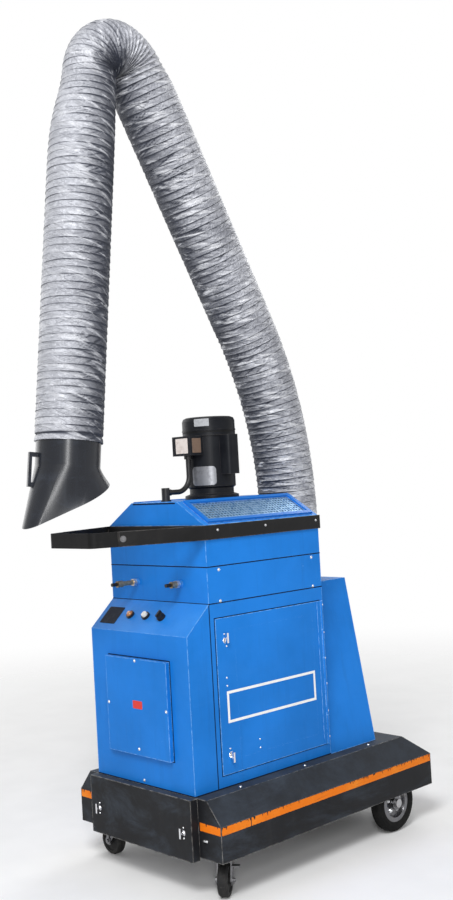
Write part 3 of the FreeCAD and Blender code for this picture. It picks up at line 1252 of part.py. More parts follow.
def ring_outline(name, radius):
    """A circle in four arcs: front, right, rear and left, in the order of the tear-drop's edges."""
    sketch = doc.addObject("Sketcher::SketchObject", name)
    circle = Part.Circle(FreeCAD.Vector(), FreeCAD.Vector(0, 0, 1), value(radius))
    marks = (225, 315, 375, 525, 585)
    for low, high in zip(marks, marks[1:]):
        sketch.addGeometry(Part.ArcOfCircle(circle, math.radians(low), math.radians(high)), False)
    for index in range(4):
        sketch.addConstraint(Sketcher.Constraint("Coincident", index, 2, (index + 1) % 4, 1))
    for index in range(3):
        sketch.addConstraint(Sketcher.Constraint("Coincident", index, 3, -1, 1))
    sketch.addConstraint(Sketcher.Constraint("Equal", 0, 3))
    tie = sketch.addConstraint(Sketcher.Constraint("Radius", 0, value(radius)))
    sketch.setExpression(f"Constraints[{tie}]", formula(radius))
    for index, mark in enumerate(marks[:4]):
        across = f"({radius}) * cos({mark})"
        tie = sketch.addConstraint(Sketcher.Constraint("DistanceX", -1, 1, index, 1, value(across)))
        sketch.setExpression(f"Constraints[{tie}]", formula(across))
    return sketch


def drop_outline(name, nose, heel):
    """A tear-drop along Y: two arcs, each a radius and a centre on the axis, and their common tangents."""
    sketch = doc.addObject("Sketcher::SketchObject", name)
    radii = [value(nose[0]), value(heel[0])]
    centres = [FreeCAD.Vector(0, value(y), 0) for y in (nose[1], heel[1])]
    lean = math.asin((radii[1] - radii[0]) / (centres[1].y - centres[0].y))
    right, left = -lean, math.pi + lean
    ways = [FreeCAD.Vector(math.cos(angle), math.sin(angle), 0) for angle in (right, left)]
    spots = [[centre + way * radius for way in ways] for centre, radius in zip(centres, radii)]
    upward = FreeCAD.Vector(0, 0, 1)
    circles = [Part.Circle(centre, upward, radius) for centre, radius in zip(centres, radii)]
    sketch.addGeometry(Part.ArcOfCircle(circles[0], left, right + 2 * math.pi), False)
    sketch.addGeometry(Part.LineSegment(spots[0][0], spots[1][0]), False)
    sketch.addGeometry(Part.ArcOfCircle(circles[1], right, left), False)
    sketch.addGeometry(Part.LineSegment(spots[1][1], spots[0][1]), False)
    for index in range(4):
        sketch.addConstraint(Sketcher.Constraint("Tangent", index, 2, (index + 1) % 4, 1))
    for arc, (radius, height) in ((0, nose), (2, heel)):
        sketch.addConstraint(Sketcher.Constraint("PointOnObject", arc, 3, -2))
        tie = sketch.addConstraint(Sketcher.Constraint("Radius", arc, value(radius)))
        sketch.setExpression(f"Constraints[{tie}]", formula(radius))
        tie = sketch.addConstraint(Sketcher.Constraint("DistanceY", -1, 1, arc, 3, value(height)))
        sketch.setExpression(f"Constraints[{tie}]", formula(height))
    return sketch


def make_hood():
    """Hood on a swivel spool at the wrist: collar, flared mouth and side handle."""
    fall = ((1, 0, 0), "-upper_lean")
    seat = ("0", "wrist_y", "wrist_z")
    ring, wall, groove = "hood_collar_radius", "hood_wall", "spool_groove"
    inner = f"({ring} - {wall} - slide_gap)"
    length = "hood_collar_length"
    spool = turned("spool", [
        (f"{inner} - {wall} - {groove}", f"-{length}"), (inner, f"-{length}"),
        (inner, f"{groove} * 2 - {length}"),
        (f"{inner} - {groove}", f"{groove} * 2 - {length}"), (f"{inner} - {groove}", f"-{groove} * 2"),
        (inner, f"-{groove} * 2"), (inner, "0"), (f"{inner} - {wall} - {groove}", "0")], ("0", "0", "0"))
    bar = box("spool_bar", ("link_gap - link_inner", "link_inner - link_gap"),
              (f"{wall} / 2 + {groove} - {inner}", f"{inner} - {groove} - {wall} / 2"),
              (f"-{length} / 2 - link_width / 2", f"link_width / 2 - {length} / 2"))
    lug = box("spool_lug", ("link_gap - link_inner", "link_inner - link_gap"),
              ("-link_width / 2", "link_width / 2"), (f"-{length} / 2", "link_width / 2"))
    bore = rod("spool_bore", "wrist_pin_radius + fit_gap", "4 * link_inner",
               ("-2 * link_inner", "0", "0"), "X")
    node(place(cut("hood_spool", fuse("spool_body", spool, bar, lug), bore), seat, fall), "hood_spool")

    def mouth(name, trim):
        """Round neck drawn out to a tilted tear-drop lip, smaller all over by the trim."""
        neck = ring_outline(name + "_neck", f"{ring} - {trim}")
        place(neck, ("0", "0", f"-{length} - hood_neck_drop"))
        lip = drop_outline(name + "_lip", (f"nose_radius - {trim}", "-nose_reach"),
                           (f"heel_radius - {trim}", "heel_back"))
        place(lip, ("0", "hood_back", f"-{length} - hood_drop"), ((1, 0, 0), "mouth_tilt + upper_lean"))
        flare = doc.addObject("Part::Loft", name)
        flare.Sections = [neck, lip]
        flare.Solid = True
        return flare

    radius, bar_half = f"{ring} + hood_handle_stand", "hood_handle_bar / 2"
    top, foot = "-hood_handle_drop", "-hood_handle_drop - hood_handle_length"

    def lug(name, low, high, inward):
        """A block of the handle, facing -Y, turned to the front left corner."""
        block = box(name, (f"-{bar_half}", bar_half), (f"-({radius})", f"-({radius}) + {inward}"),
                    (low, high))
        return place(group(name + "_turned", block), ("0", "0", "0"), ((0, 0, 1), "-hood_handle_turn"))

    handle = [lug("handle_bar", foot, top, "hood_handle_bar * 0.7"),
              lug("handle_top", f"{top} - hood_handle_bar", top, "hood_handle_stand + 1"),
              lug("handle_foot", foot, f"{foot} + hood_handle_bar", "hood_handle_stand")]
    outside = fuse("flare_with_handle", mouth("flare_outside", "0"), *handle)
    shell = cut("hood_flare", outside, mouth("flare_inside", wall))
    collar = turned("hood_collar", [
        (f"{ring} - {wall}", f"-{length} - hood_neck_drop"), (ring, f"-{length} - hood_neck_drop"),
        (ring, "0"),
        (f"{ring} - {wall}", "0"), (f"{ring} - {wall}", f"-{groove} * 2 - slide_gap"),
        (f"{ring} - {wall} - {groove}", f"-{groove} * 2 - slide_gap"),
        (f"{ring} - {wall} - {groove}", f"{groove} * 2 + slide_gap - {length}"),
        (f"{ring} - {wall}", f"{groove} * 2 + slide_gap - {length}")], ("0", "0", "0"))
    node(place(fuse("hood_shell", shell, collar), seat, fall), "hood_shell")


def check_document():
    """Stop if any object failed or any sub-part has no valid shape."""
    doc.recompute()
    failed = [item.Name for item in doc.Objects if "Invalid" in item.State or "Error" in item.State]
    broken = [piece.Label for piece in NODES if piece.Shape.isNull() or not piece.Shape.isValid()]
    if failed or broken:
        raise RuntimeError(f"failed objects {failed}, sub-parts without a valid shape {broken}")


def write_parts():
    """Write each sub-part to a file named after it."""
    os.makedirs("parts", exist_ok=True)
    for piece in NODES:
        piece.Shape.exportStep(f"parts/{piece.Label}.step")


make_chassis()
make_drawer()
make_latches()
make_cabinet()
make_modules()
make_grilles()
make_duct()
make_door()
make_controls()
make_motor()
node(fuse("blower_wheel", *make_rotor()), "blower_wheel")
make_conduit()
make_rails()
make_air_couplings()
make_filter()
make_rear_wheels()
make_casters()
make_hose()
make_arm()
make_hood()
check_document()
write_parts()
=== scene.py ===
"""Looks of a mobile welding fume extractor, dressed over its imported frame.

Lengths are metres in the part's own frame: +Z up, +X the door side, -Y the front with the push handle.
"""

import logging
import math
from abc import ABC, abstractmethod
from dataclasses import dataclass
from enum import Enum
from functools import cache
from typing import Dict, List, Optional, Sequence, Tuple, Union

import bmesh
import bpy
import numpy as np
from mathutils import Matrix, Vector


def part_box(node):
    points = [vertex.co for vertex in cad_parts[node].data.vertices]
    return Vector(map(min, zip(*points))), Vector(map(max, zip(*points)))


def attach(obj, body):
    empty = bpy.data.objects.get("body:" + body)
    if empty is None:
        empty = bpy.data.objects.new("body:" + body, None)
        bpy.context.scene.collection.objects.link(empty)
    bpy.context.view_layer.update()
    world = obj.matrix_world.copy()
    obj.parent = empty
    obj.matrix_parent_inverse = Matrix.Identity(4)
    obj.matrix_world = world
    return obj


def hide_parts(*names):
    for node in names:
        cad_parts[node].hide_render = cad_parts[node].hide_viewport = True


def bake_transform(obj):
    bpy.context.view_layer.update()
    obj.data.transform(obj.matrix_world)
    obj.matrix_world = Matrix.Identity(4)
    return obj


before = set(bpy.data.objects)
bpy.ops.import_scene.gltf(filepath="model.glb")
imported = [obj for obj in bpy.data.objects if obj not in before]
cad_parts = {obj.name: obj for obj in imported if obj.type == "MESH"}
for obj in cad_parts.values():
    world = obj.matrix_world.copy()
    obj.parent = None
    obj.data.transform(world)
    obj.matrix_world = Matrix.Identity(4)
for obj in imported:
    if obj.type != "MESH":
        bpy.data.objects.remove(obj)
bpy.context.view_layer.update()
LOG = logging.getLogger("fume_extractor")

Array = np.ndarray
Colour = Tuple[float, float, float]
Point = Tuple[float, float, float]
Setting = Union[str, int, float, bool]

FRONT: Point = (0.0, -1.0, 0.0)
RIGHT: Point = (1.0, 0.0, 0.0)


class Sock:
    """A value inside a material; ordinary arithmetic on it adds Math nodes."""

    def __init__(self, recipe: "Recipe", socket: bpy.types.NodeSocket) -> None:
        """Keep the recipe that owns the value and the socket that gives it."""
        self.recipe = recipe
        self.socket = socket

    def __add__(self, other: "Value") -> "Sock":
        """This value plus another."""
        return self.recipe.math("ADD", self, other)

    def __radd__(self, other: float) -> "Sock":
        """A number plus this value."""
        return self.recipe.math("ADD", other, self)

    def __sub__(self, other: "Value") -> "Sock":
        """This value less another."""
        return self.recipe.math("SUBTRACT", self, other)

    def __rsub__(self, other: float) -> "Sock":
        """A number less this value."""
        return self.recipe.math("SUBTRACT", other, self)

    def __mul__(self, other: "Value") -> "Sock":
        """This value times another."""
        return self.recipe.math("MULTIPLY", self, other)

    def __rmul__(self, other: float) -> "Sock":
        """A number times this value."""
        return self.recipe.math("MULTIPLY", other, self)

    def __truediv__(self, other: "Value") -> "Sock":
        """This value divided by another."""
        return self.recipe.math("DIVIDE", self, other)

    def __rtruediv__(self, other: float) -> "Sock":
        """A number divided by this value."""
        return self.recipe.math("DIVIDE", other, self)

    def __abs__(self) -> "Sock":
        """This value without its sign."""
        return self.recipe.math("ABSOLUTE", self)

    def larger(self, other: "Value") -> "Sock":
        """The larger of this value and another."""
        return self.recipe.math("MAXIMUM", self, other)

    def step(self, low: float, high: float) -> "Sock":
        """A smooth step from 0 at the low value to 1 at the high one."""
        return self.recipe.node("ShaderNodeMapRange", {"interpolation_type": "SMOOTHSTEP"},
                                {"Value": self, "From Min": low, "From Max": high})


Value = Union[Sock, float]


class Recipe:
    """One material, or the world's light, under construction."""

    def __init__(self, block: Union[bpy.types.Material, bpy.types.World]) -> None:
        """Empty the nodes of a material or a world, to fill them afresh."""
        self.block = block
        self.block.use_nodes = True
        self.tree = self.block.node_tree
        self.tree.nodes.clear()

    def node(self, kind: str, settings: Optional[Dict[str, Setting]] = None,
             inputs: Optional[Dict[Union[str, int], object]] = None, output: Union[str, int] = 0) -> Sock:
        """Add one node.

        Args:
            kind: The node's type.
            settings: Its properties, set before its sockets.
            inputs: Values or links, by socket name or number.
            output: The socket that is handed back.

        Returns:
            The chosen output.
        """
        made = self.tree.nodes.new(kind)
        for key, setting in (settings or {}).items():
            setattr(made, key, setting)
        for key, given in (inputs or {}).items():
            if isinstance(given, Sock):
                self.tree.links.new(given.socket, made.inputs[key])
            else:
                made.inputs[key].default_value = given
        return Sock(self, made.outputs[output])

    def math(self, operation: str, *values: Value) -> Sock:
        """A Math node on one or two values."""
        return self.node("ShaderNodeMath", {"operation": operation}, dict(enumerate(values)))

    def place(self, stretch: Point = (1.0, 1.0, 1.0), turn: Point = (0.0, 0.0, 0.0)) -> Sock:
        """Object coordinates, stretched and turned.

        Args:
            stretch: Scale along each axis; a larger number makes the pattern finer.
            turn: Angles about each axis, in degrees.

        Returns:
            The coordinates.
        """
        where = self.node("ShaderNodeTexCoord", output="Object")
        return self.mapped(where, stretch, turn)

    def mapped(self, where: Sock, stretch: Point, turn: Point = (0.0, 0.0, 0.0)) -> Sock:
        """Coordinates passed through a Mapping node."""
        angles = tuple(math.radians(angle) for angle in turn)
        return self.node("ShaderNodeMapping", {}, {"Vector": where, "Scale": stretch, "Rotation": angles})

    def run(self, stretch: Point = (1.0, 1.0, 1.0), turn: Point = (0.0, 0.0, 0.0)) -> Sock:
        """The piece's own texture map, in metres along its surface, stretched and turned."""
        where = self.node("ShaderNodeUVMap", {"uv_map": "run"})
        return self.mapped(where, stretch, turn)

    def around(self, radius: float, across: float, along: float, sway: float) -> Sock:
        """Coordinates round a tube without a seam: the arc as a circle, the run swayed by the arc's sine.

        Args:
            radius: Radius of the tube.
            across: Scale round the tube.
            along: Scale along the tube.
            sway: How far the pattern's rings lean, in metres.

        Returns:
            The coordinates.
        """
        arc, run = self.axes(self.run(), "XY")
        angle = arc / radius
        sine = self.math("SINE", angle)
        return self.node("ShaderNodeCombineXYZ", {}, {
            "X": self.math("COSINE", angle) * (radius * across), "Y": sine * (radius * across),
            "Z": (run + sway * sine) * along})

    def axes(self, where: Sock, names: str) -> List[Sock]:
        """The named axes of a vector, each as a value."""
        return [self.node("ShaderNodeSeparateXYZ", {}, {"Vector": where}, output=axis) for axis in names]

    def tone(self) -> Sock:
        """The piece's own tone, kept per point."""
        return self.node("ShaderNodeAttribute", {"attribute_name": "tone"}, output="Fac")

    def noise(self, scale: float, detail: float = 3.0, where: Optional[Sock] = None, rough: float = 0.55,
              warp: float = 0.0) -> Sock:
        """Cloudy noise about 0.5.

        Args:
            scale: Patches per metre.
            detail: Number of finer layers.
            where: Coordinates, or none for plain Object coordinates.
            rough: Weight of the finer layers.
            warp: How far the pattern is twisted.

        Returns:
            The noise value.
        """
        return self.node("ShaderNodeTexNoise", {}, {
            "Vector": where or self.place(), "Scale": scale, "Detail": detail, "Roughness": rough,
            "Distortion": warp}, output="Fac")

    def cells(self, scale: float) -> Sock:
        """Distance to the nearest of scattered points, for facets."""
        return self.node("ShaderNodeTexVoronoi", {}, {"Vector": self.place(), "Scale": scale},
                         output="Distance")

    def mix(self, factor: Value, low: Union[Sock, Colour], high: Union[Sock, Colour]) -> Sock:
        """A colour between two, by a factor."""
        low, high = (c if isinstance(c, Sock) else (*c, 1.0) for c in (low, high))
        return self.node("ShaderNodeMix", {"data_type": "RGBA"}, {0: factor, 6: low, 7: high}, output=2)

    def edges(self, radius: float) -> Sock:
        """How strongly the surface bends within a radius: 0 on a flat, about 0.3 on a square edge."""
        soft = self.node("ShaderNodeBevel", {"samples": 4}, {"Radius": radius})
        flat = self.node("ShaderNodeNewGeometry", output="True Normal")
        return 1.0 - self.node("ShaderNodeVectorMath", {"operation": "DOT_PRODUCT"}, {0: soft, 1: flat},
                               output="Value")

    def upward(self) -> Sock:
        """How far the surface faces up: 1 on a level top, 0 on a wall."""
        return self.axes(self.node("ShaderNodeNewGeometry", output="True Normal"), "Z")[0]

    def seen(self) -> Sock:
        """1 where the camera, a mirror or clear glass looks, and 0 for the light that falls on things."""
        camera, glossy, through = (self.node("ShaderNodeLightPath", output=f"Is {word} Ray")
                                   for word in ("Camera", "Glossy", "Transmission"))
        return camera.larger(glossy).larger(through)

    def bump(self, height: Sock, strength: float, depth: float, under: Optional[Sock] = None) -> Sock:
        """A surface normal pushed about by a height."""
        inputs = {"Height": height, "Strength": strength, "Distance": depth}
        if under is not None:
            inputs["Normal"] = under
        return self.node("ShaderNodeBump", {}, inputs)

    def close(self, **sockets: object) -> bpy.types.Material:
        """Join the values to the surface shader and finish the material.

        Args:
            **sockets: Shader inputs, with _ for a space; a colour is three numbers.

        Returns:
            The finished material.
        """
        inputs = {}
        for key, given in sockets.items():
            name = " ".join(word if word.isupper() else word.capitalize() for word in key.split("_"))
            inputs[name] = (*given, 1.0) if isinstance(given, tuple) else given
        surface = self.node("ShaderNodeBsdfPrincipled", {}, inputs)
        return self.finish(surface)

    def finish(self, surface: Sock, end: str = "Material") -> Union[bpy.types.Material, bpy.types.World]:
        """Send a shader to the output and hand back what was filled."""
        output = self.tree.nodes.new(f"ShaderNodeOutput{end}")
        self.tree.links.new(surface.socket, output.inputs["Surface"])
        return self.block


@dataclass(frozen=True)
class Finish(ABC):
    """A surface finish, which makes its material once."""

    name: str

    @abstractmethod
    def mix_up(self, recipe: Recipe) -> bpy.types.Material:
        """Write the finish into an empty material."""

    def material(self) -> bpy.types.Material:
        """The finish's material, made on first use."""
        return stock(self)


@cache
def stock(finish: Finish) -> bpy.types.Material:
    """Make the material of a finish, once for each finish."""
    return finish.mix_up(Recipe(bpy.data.materials.new(finish.name)))


@dataclass(frozen=True)
class Enamel(Finish):
    """Sprayed enamel: slow colour drift, grime, worn edges, dust on level tops and a fine orange peel; on the
    blue the worn edges and the dust also paint edge highlights and top light, and on the hood the smear
    paints a sheen.
    """

    colour: Colour = (0.5, 0.5, 0.5)
    grime: Colour = (0.1, 0.1, 0.1)
    # colour of worn edges; on the blue a light blue, painted highlights along folded edges
    bare: Colour = (0.4, 0.4, 0.4)
    # dust colour; on the blue also painted top light, on the hood also painted sheen
    dust: Colour = (0.3, 0.3, 0.32)
    rough: float = 0.34
    dirt: float = 0.35
    wear_and_edge_highlight: float = 0.6
    dusty_and_top_light: float = 0.0
    peel: float = 0.10
    shine: float = 0.25
    # strength of the smear in the dust colour; on the hood it is a painted sheen
    film: float = 0.0

    def mix_up(self, recipe: Recipe) -> bpy.types.Material:
        """Colour by drift, streaked grime, smears, dust, chips and bare edges, where smears, dust and bare
        edges also carry painted sheen, top light and edge highlights; dirt takes the gloss away.
        """
        drift = recipe.noise(2.6, 4.0)
        streaks = recipe.noise(1.0, 5.0, recipe.place((34.0, 34.0, 3.2)), 0.65)
        specks = recipe.noise(160.0, 2.0)
        light = tuple(min(1.0, c * 1.10 + 0.004) for c in self.colour)
        deep = tuple(c * 0.86 for c in self.colour)
        paint = recipe.mix(drift.step(0.30, 0.70), deep, light)
        soil = (streaks.step(0.50, 0.82) * 0.7 + specks.step(0.62, 0.75) * 0.3) * self.dirt
        paint = recipe.mix(soil, paint, self.grime)
        # smear in the dust colour: dust, and on the hood a painted sheen
        smear_and_sheen = recipe.noise(5.0, 7.0, recipe.place((1.0, 0.6, 1.7)), 0.72, 0.6).step(0.44, 0.74) * self.film
        paint = recipe.mix(smear_and_sheen, paint, self.dust)
        # dust on level tops; on the blue also painted top light on tops and slopes
        level = recipe.upward().step(0.35, 0.95) * self.dusty_and_top_light
        dust_and_top_light = level * (0.35 + 0.65 * recipe.noise(9.0, 6.0, rough=0.7).step(0.30, 0.72))
        paint = recipe.mix(dust_and_top_light, paint, self.dust)
        # edge scuffs in the bare colour: wear, and on the blue painted highlights along folded edges
        scuff_and_edge_highlight = recipe.edges(0.0045).step(0.03, 0.16) * recipe.noise(48.0, 4.0).step(0.32, 0.60) * self.wear_and_edge_highlight
        chips = recipe.noise(31.0, 7.0, rough=0.8).step(0.69, 0.72) * self.wear_and_edge_highlight * 0.5
        paint = recipe.mix(scuff_and_edge_highlight.larger(chips), paint, self.bare)
        rough = self.rough + 0.10 * (drift - 0.5) + 0.35 * dust_and_top_light + 0.22 * soil + 0.10 * scuff_and_edge_highlight
        skin = recipe.bump(recipe.noise(420.0, 2.0), self.peel, 0.0006)
        return recipe.close(base_color=paint, roughness=rough, normal=skin, specular_IOR_level=self.shine)


@dataclass(frozen=True)
class Plated(Finish):
    """Plated or bare metal with brushed lines and dull patches."""

    colour: Colour = (0.7, 0.7, 0.7)
    dull: Colour = (0.35, 0.34, 0.33)
    rough: float = 0.22
    stain: float = 0.4
    lines: Point = (30.0, 30.0, 900.0)

    def mix_up(self, recipe: Recipe) -> bpy.types.Material:
        """Metal colour by cloudy stains, roughness by stains and fine brushed lines."""
        cloud = recipe.noise(24.0, 5.0, rough=0.65)
        brushed = recipe.noise(1.0, 2.0, recipe.place(self.lines))
        stain = cloud.step(0.48, 0.78) * self.stain
        colour = recipe.mix(stain, self.colour, self.dull)
        rough = self.rough + 0.30 * stain + 0.10 * (brushed - 0.5)
        return recipe.close(base_color=colour, roughness=rough, metallic=1.0,
                            normal=recipe.bump(brushed, 0.08, 0.0003))


@dataclass(frozen=True)
class Rubber(Finish):
    """Moulded rubber or plastic with a bloom of dust and a fine grain."""

    colour: Colour = (0.03, 0.03, 0.03)
    dust: Colour = (0.12, 0.115, 0.11)
    rough: float = 0.7
    bloom: float = 0.45
    grain: float = 0.3
    shine: float = 0.2

    def mix_up(self, recipe: Recipe) -> bpy.types.Material:
        """Dark colour under cloudy dust; roughness follows the dust, and the grain is a fine noise."""
        cloud = recipe.noise(18.0, 6.0, rough=0.7)
        film = cloud.step(0.42, 0.78) * self.bloom
        lines = recipe.place((15.0, 120.0, 120.0), (20.0, 0.0, 35.0))
        scuffs = recipe.noise(1.0, 3.0, lines).step(0.62, 0.72)
        colour = recipe.mix(film.larger(scuffs * self.bloom * 0.6), self.colour, self.dust)
        grain = recipe.bump(recipe.noise(700.0, 2.0), self.grain, 0.0005)
        return recipe.close(base_color=colour, roughness=self.rough + 0.2 * (film - 0.3), normal=grain,
                            specular_IOR_level=self.shine)


@dataclass(frozen=True)
class Lens(Finish):
    """Coloured moulded lens with darker patches and facets."""

    colour: Colour = (0.6, 0.24, 0.05)
    deep: Colour = (0.2, 0.06, 0.01)

    def mix_up(self, recipe: Recipe) -> bpy.types.Material:
        """Glossy colour, darker in a cloudy pattern, with facets in the bump."""
        cloud = recipe.noise(120.0, 3.0)
        colour = recipe.mix(cloud.step(0.35, 0.7), self.colour, self.deep)
        facets = recipe.bump(recipe.cells(420.0), 0.35, 0.0008)
        return recipe.close(base_color=colour, roughness=0.16, normal=facets, coat_weight=0.6,
                            subsurface_weight=0.15)


@dataclass(frozen=True)
class SilverCloth(Finish):
    """Coated silver cloth: woven threads, crinkles, and painted shade in the folds below each wire, in the
    crinkle valleys and on the inner side.
    """

    colour: Colour = (0.425, 0.435, 0.475)
    shade: Colour = (0.018, 0.022, 0.036)
    # soil colour, also the painted shade of the crinkle valleys
    soil: Colour = (0.17, 0.175, 0.20)
    # highlight colour of the painted sheen streaks
    sheen_highlight: Colour = (0.80, 0.81, 0.84)
    rough: float = 0.38
    radius: float = 0.1086
    calm: Tuple[float, float] = (1.95, 2.35)

    def mix_up(self, recipe: Recipe) -> bpy.types.Material:
        """Colour darkens with the tone, which is painted shade below the wires, in the creases and on the
        inner side; streaks of painted sheen lessen that shade and lighten towards a highlight colour;
        crinkles lie over a weave.

        Painted sheen streaks, stains and the painted shade of the crinkles are fainter past the elbow, where
        the cloth hangs straight.
        """
        still = recipe.axes(recipe.run(), "Y")[0].step(*self.calm)
        # coordinates of the painted sheen streaks
        rubbed = recipe.around(self.radius, 9.0, 58.0, 0.030)
        sheen_streak = recipe.noise(1.0, 4.0, rubbed, 0.6, 0.6).step(0.50, 0.66)
        fold = recipe.tone() * (1.0 - 0.60 * sheen_streak)
        cloud = recipe.noise(5.0, 5.0, rough=0.65)
        slant = recipe.around(self.radius, 13.0, 46.0, 0.027)
        crinkle = abs(recipe.noise(1.0, 3.0, slant, 0.5, 1.2) - 0.5)
        cross = recipe.around(self.radius, 24.0, 40.0, -0.080)
        fine = abs(recipe.noise(1.4, 3.0, cross, 0.55, 0.8) - 0.5)
        folds = crinkle * 2.4 + fine * 1.2
        warp, weft = (recipe.node("ShaderNodeTexWave", {"bands_direction": way}, {
            "Vector": recipe.run(), "Scale": 210.0}, output="Fac") for way in "XY")
        colour = recipe.mix(cloud.step(0.40, 0.80) * (0.85 - 0.35 * still), self.colour, self.soil)
        # painted shade in the crinkle valleys
        colour = recipe.mix((1.0 - folds).step(0.66, 1.0) * (0.78 - 0.36 * still), colour, self.soil)
        # painted sheen: streaks lightened towards the highlight colour
        colour = recipe.mix(sheen_streak * (0.46 - 0.24 * still), colour, self.sheen_highlight)
        # painted shade by the tone: below the wires, in the creases and on the inner side
        colour = recipe.mix(fold.step(0.10, 0.95) * 0.93, colour, self.shade)
        rough = self.rough + 0.24 * fold + 0.16 * (cloud - 0.5) + 0.06 * warp * weft
        weave = recipe.bump(warp * weft, 0.10, 0.0004)
        return recipe.close(base_color=colour, roughness=rough, metallic=0.12, specular_IOR_level=0.24,
                            normal=recipe.bump(folds, 0.80, 0.0075, weave))


@dataclass(frozen=True)
class RimmedMesh(Finish):
    """Expanded zinc, tinted blue as a painted sky reflection, inside a painted rim, told apart by the height
    over the roof's slope.
    """

    paint: Colour = (0.01, 0.16, 0.58)
    # zinc and dull zinc tinted blue: a painted reflection of the sky
    zinc: Colour = (0.31, 0.50, 0.72)
    dull: Colour = (0.05, 0.18, 0.40)
    normal: Tuple[float, float] = (0.5164, 0.8563)
    seat: float = 1.1159

    def mix_up(self, recipe: Recipe) -> bpy.types.Material:
        """Height is x and z along the slope's normal; below the sheet's face it is zinc, over it paint."""
        x, z = recipe.axes(recipe.place(), "XZ")
        lift = abs(x) * self.normal[0] + z * self.normal[1] - self.seat
        rim = lift.step(0.0023, 0.0029)
        stain = recipe.noise(70.0, 4.0, rough=0.7).step(0.42, 0.72)
        colour = recipe.mix(rim, recipe.mix(stain, self.zinc, self.dull), self.paint)
        return recipe.close(base_color=colour, metallic=0.75 - 0.75 * rim, specular_IOR_level=0.2,
                            roughness=0.40 + 0.2 * stain * (1.0 - rim),
                            normal=recipe.bump(recipe.noise(300.0, 2.0), 0.10, 0.0005))


@dataclass(frozen=True)
class Coupling(Finish):
    """An air coupling in bands away from the panel: painted bush, zinc nut, brass body and a dark tip."""

    paint: Colour = (0.05, 0.26, 0.66)
    zinc: Colour = (0.72, 0.72, 0.74)
    brass: Colour = (0.46, 0.35, 0.21)
    tip: Colour = (0.045, 0.040, 0.034)
    seat: float = -0.2337
    nut: float = 0.012
    reach: Tuple[float, float] = (0.112, 0.066)
    plug: float = 0.022

    def mix_up(self, recipe: Recipe) -> bpy.types.Material:
        """The run is the distance along -Y from the panel; the tip begins at each side's own reach."""
        x, y = recipe.axes(recipe.place(), "XY")
        run = self.seat - y
        left, right = self.reach
        tip = right + (left - right) * x.step(0.001, -0.001) - self.plug
        worn = recipe.noise(90.0, 4.0, rough=0.7).step(0.40, 0.75)
        metal = (run - self.nut).step(-0.0003, 0.0003)
        colour = recipe.mix(metal, self.paint, self.zinc)
        colour = recipe.mix((run - 2.0 * self.nut).step(-0.0003, 0.0003), colour, self.brass)
        end = (run - tip).step(-0.0004, 0.0004)
        colour = recipe.mix(worn * 0.5, recipe.mix(end, colour, self.tip), self.tip)
        return recipe.close(base_color=colour, metallic=0.85 * metal, roughness=0.34 + 0.2 * worn,
                            normal=recipe.bump(worn, 0.10, 0.0004), specular_IOR_level=0.3)


@dataclass(frozen=True)
class Tape(Finish):
    """Worn coloured tape: faded, scratched, and soiled towards its upper edge."""

    colour: Colour = (0.76, 0.175, 0.006)
    faded: Colour = (0.80, 0.25, 0.022)
    soil: Colour = (0.045, 0.032, 0.024)

    def mix_up(self, recipe: Recipe) -> bpy.types.Material:
        """Fading by large clouds, scratches by long thin noise, soil by specks that grow with the tone."""
        fade = recipe.noise(7.0, 4.0)
        scratch = recipe.noise(1.0, 3.0, recipe.place((12.0, 12.0, 260.0), (6.0, 0.0, 0.0))).step(0.64, 0.72)
        specks = recipe.noise(130.0, 4.0, rough=0.7).step(0.60, 0.72)
        dirt = (specks * (0.35 + recipe.tone())).larger(scratch * 0.5)
        colour = recipe.mix(dirt, recipe.mix(fade.step(0.4, 0.7), self.colour, self.faded), self.soil)
        return recipe.close(base_color=colour, roughness=0.48 + 0.3 * dirt, specular_IOR_level=0.12,
                            normal=recipe.bump(recipe.noise(90.0, 3.0), 0.12, 0.0008))


@dataclass(frozen=True)
class Label(Finish):
    """A bare plate or sticker: one colour, rubbed and stained."""

    colour: Colour = (0.7, 0.7, 0.7)
    stain: Colour = (0.3, 0.28, 0.26)
    metal: float = 0.0
    rough: float = 0.4
    rubbed: float = 0.5
    shine: float = 0.3

    def mix_up(self, recipe: Recipe) -> bpy.types.Material:
        """Stains by clouds and long rubs, which also make the bump."""
        cloud = recipe.noise(45.0, 5.0, rough=0.7).step(0.45, 0.8)
        rubs = recipe.noise(1.0, 3.0, recipe.place((60.0, 60.0, 600.0), (12.0, 8.0, 0.0))).step(0.60, 0.75)
        mask = cloud.larger(rubs * 0.7) * self.rubbed
        colour = recipe.mix(mask, self.colour, self.stain)
        return recipe.close(base_color=colour, roughness=self.rough + 0.25 * mask, metallic=self.metal,
                            normal=recipe.bump(rubs, 0.06, 0.0004), specular_IOR_level=self.shine)


@dataclass(frozen=True)
class Paper(Finish):
    """Pleated filter paper, greyed by fume between the pleats."""

    colour: Colour = (0.80, 0.78, 0.70)
    soot: Colour = (0.30, 0.29, 0.27)

    def mix_up(self, recipe: Recipe) -> bpy.types.Material:
        """Soot by clouds that run up and down, over a fibrous bump."""
        cloud = recipe.noise(1.0, 5.0, recipe.place((40.0, 40.0, 6.0)), 0.7)
        fibre = recipe.noise(500.0, 4.0, rough=0.7)
        colour = recipe.mix(cloud.step(0.4, 0.75) * 0.6, self.colour, self.soot)
        return recipe.close(base_color=colour, roughness=0.9, normal=recipe.bump(fibre, 0.3, 0.0006))


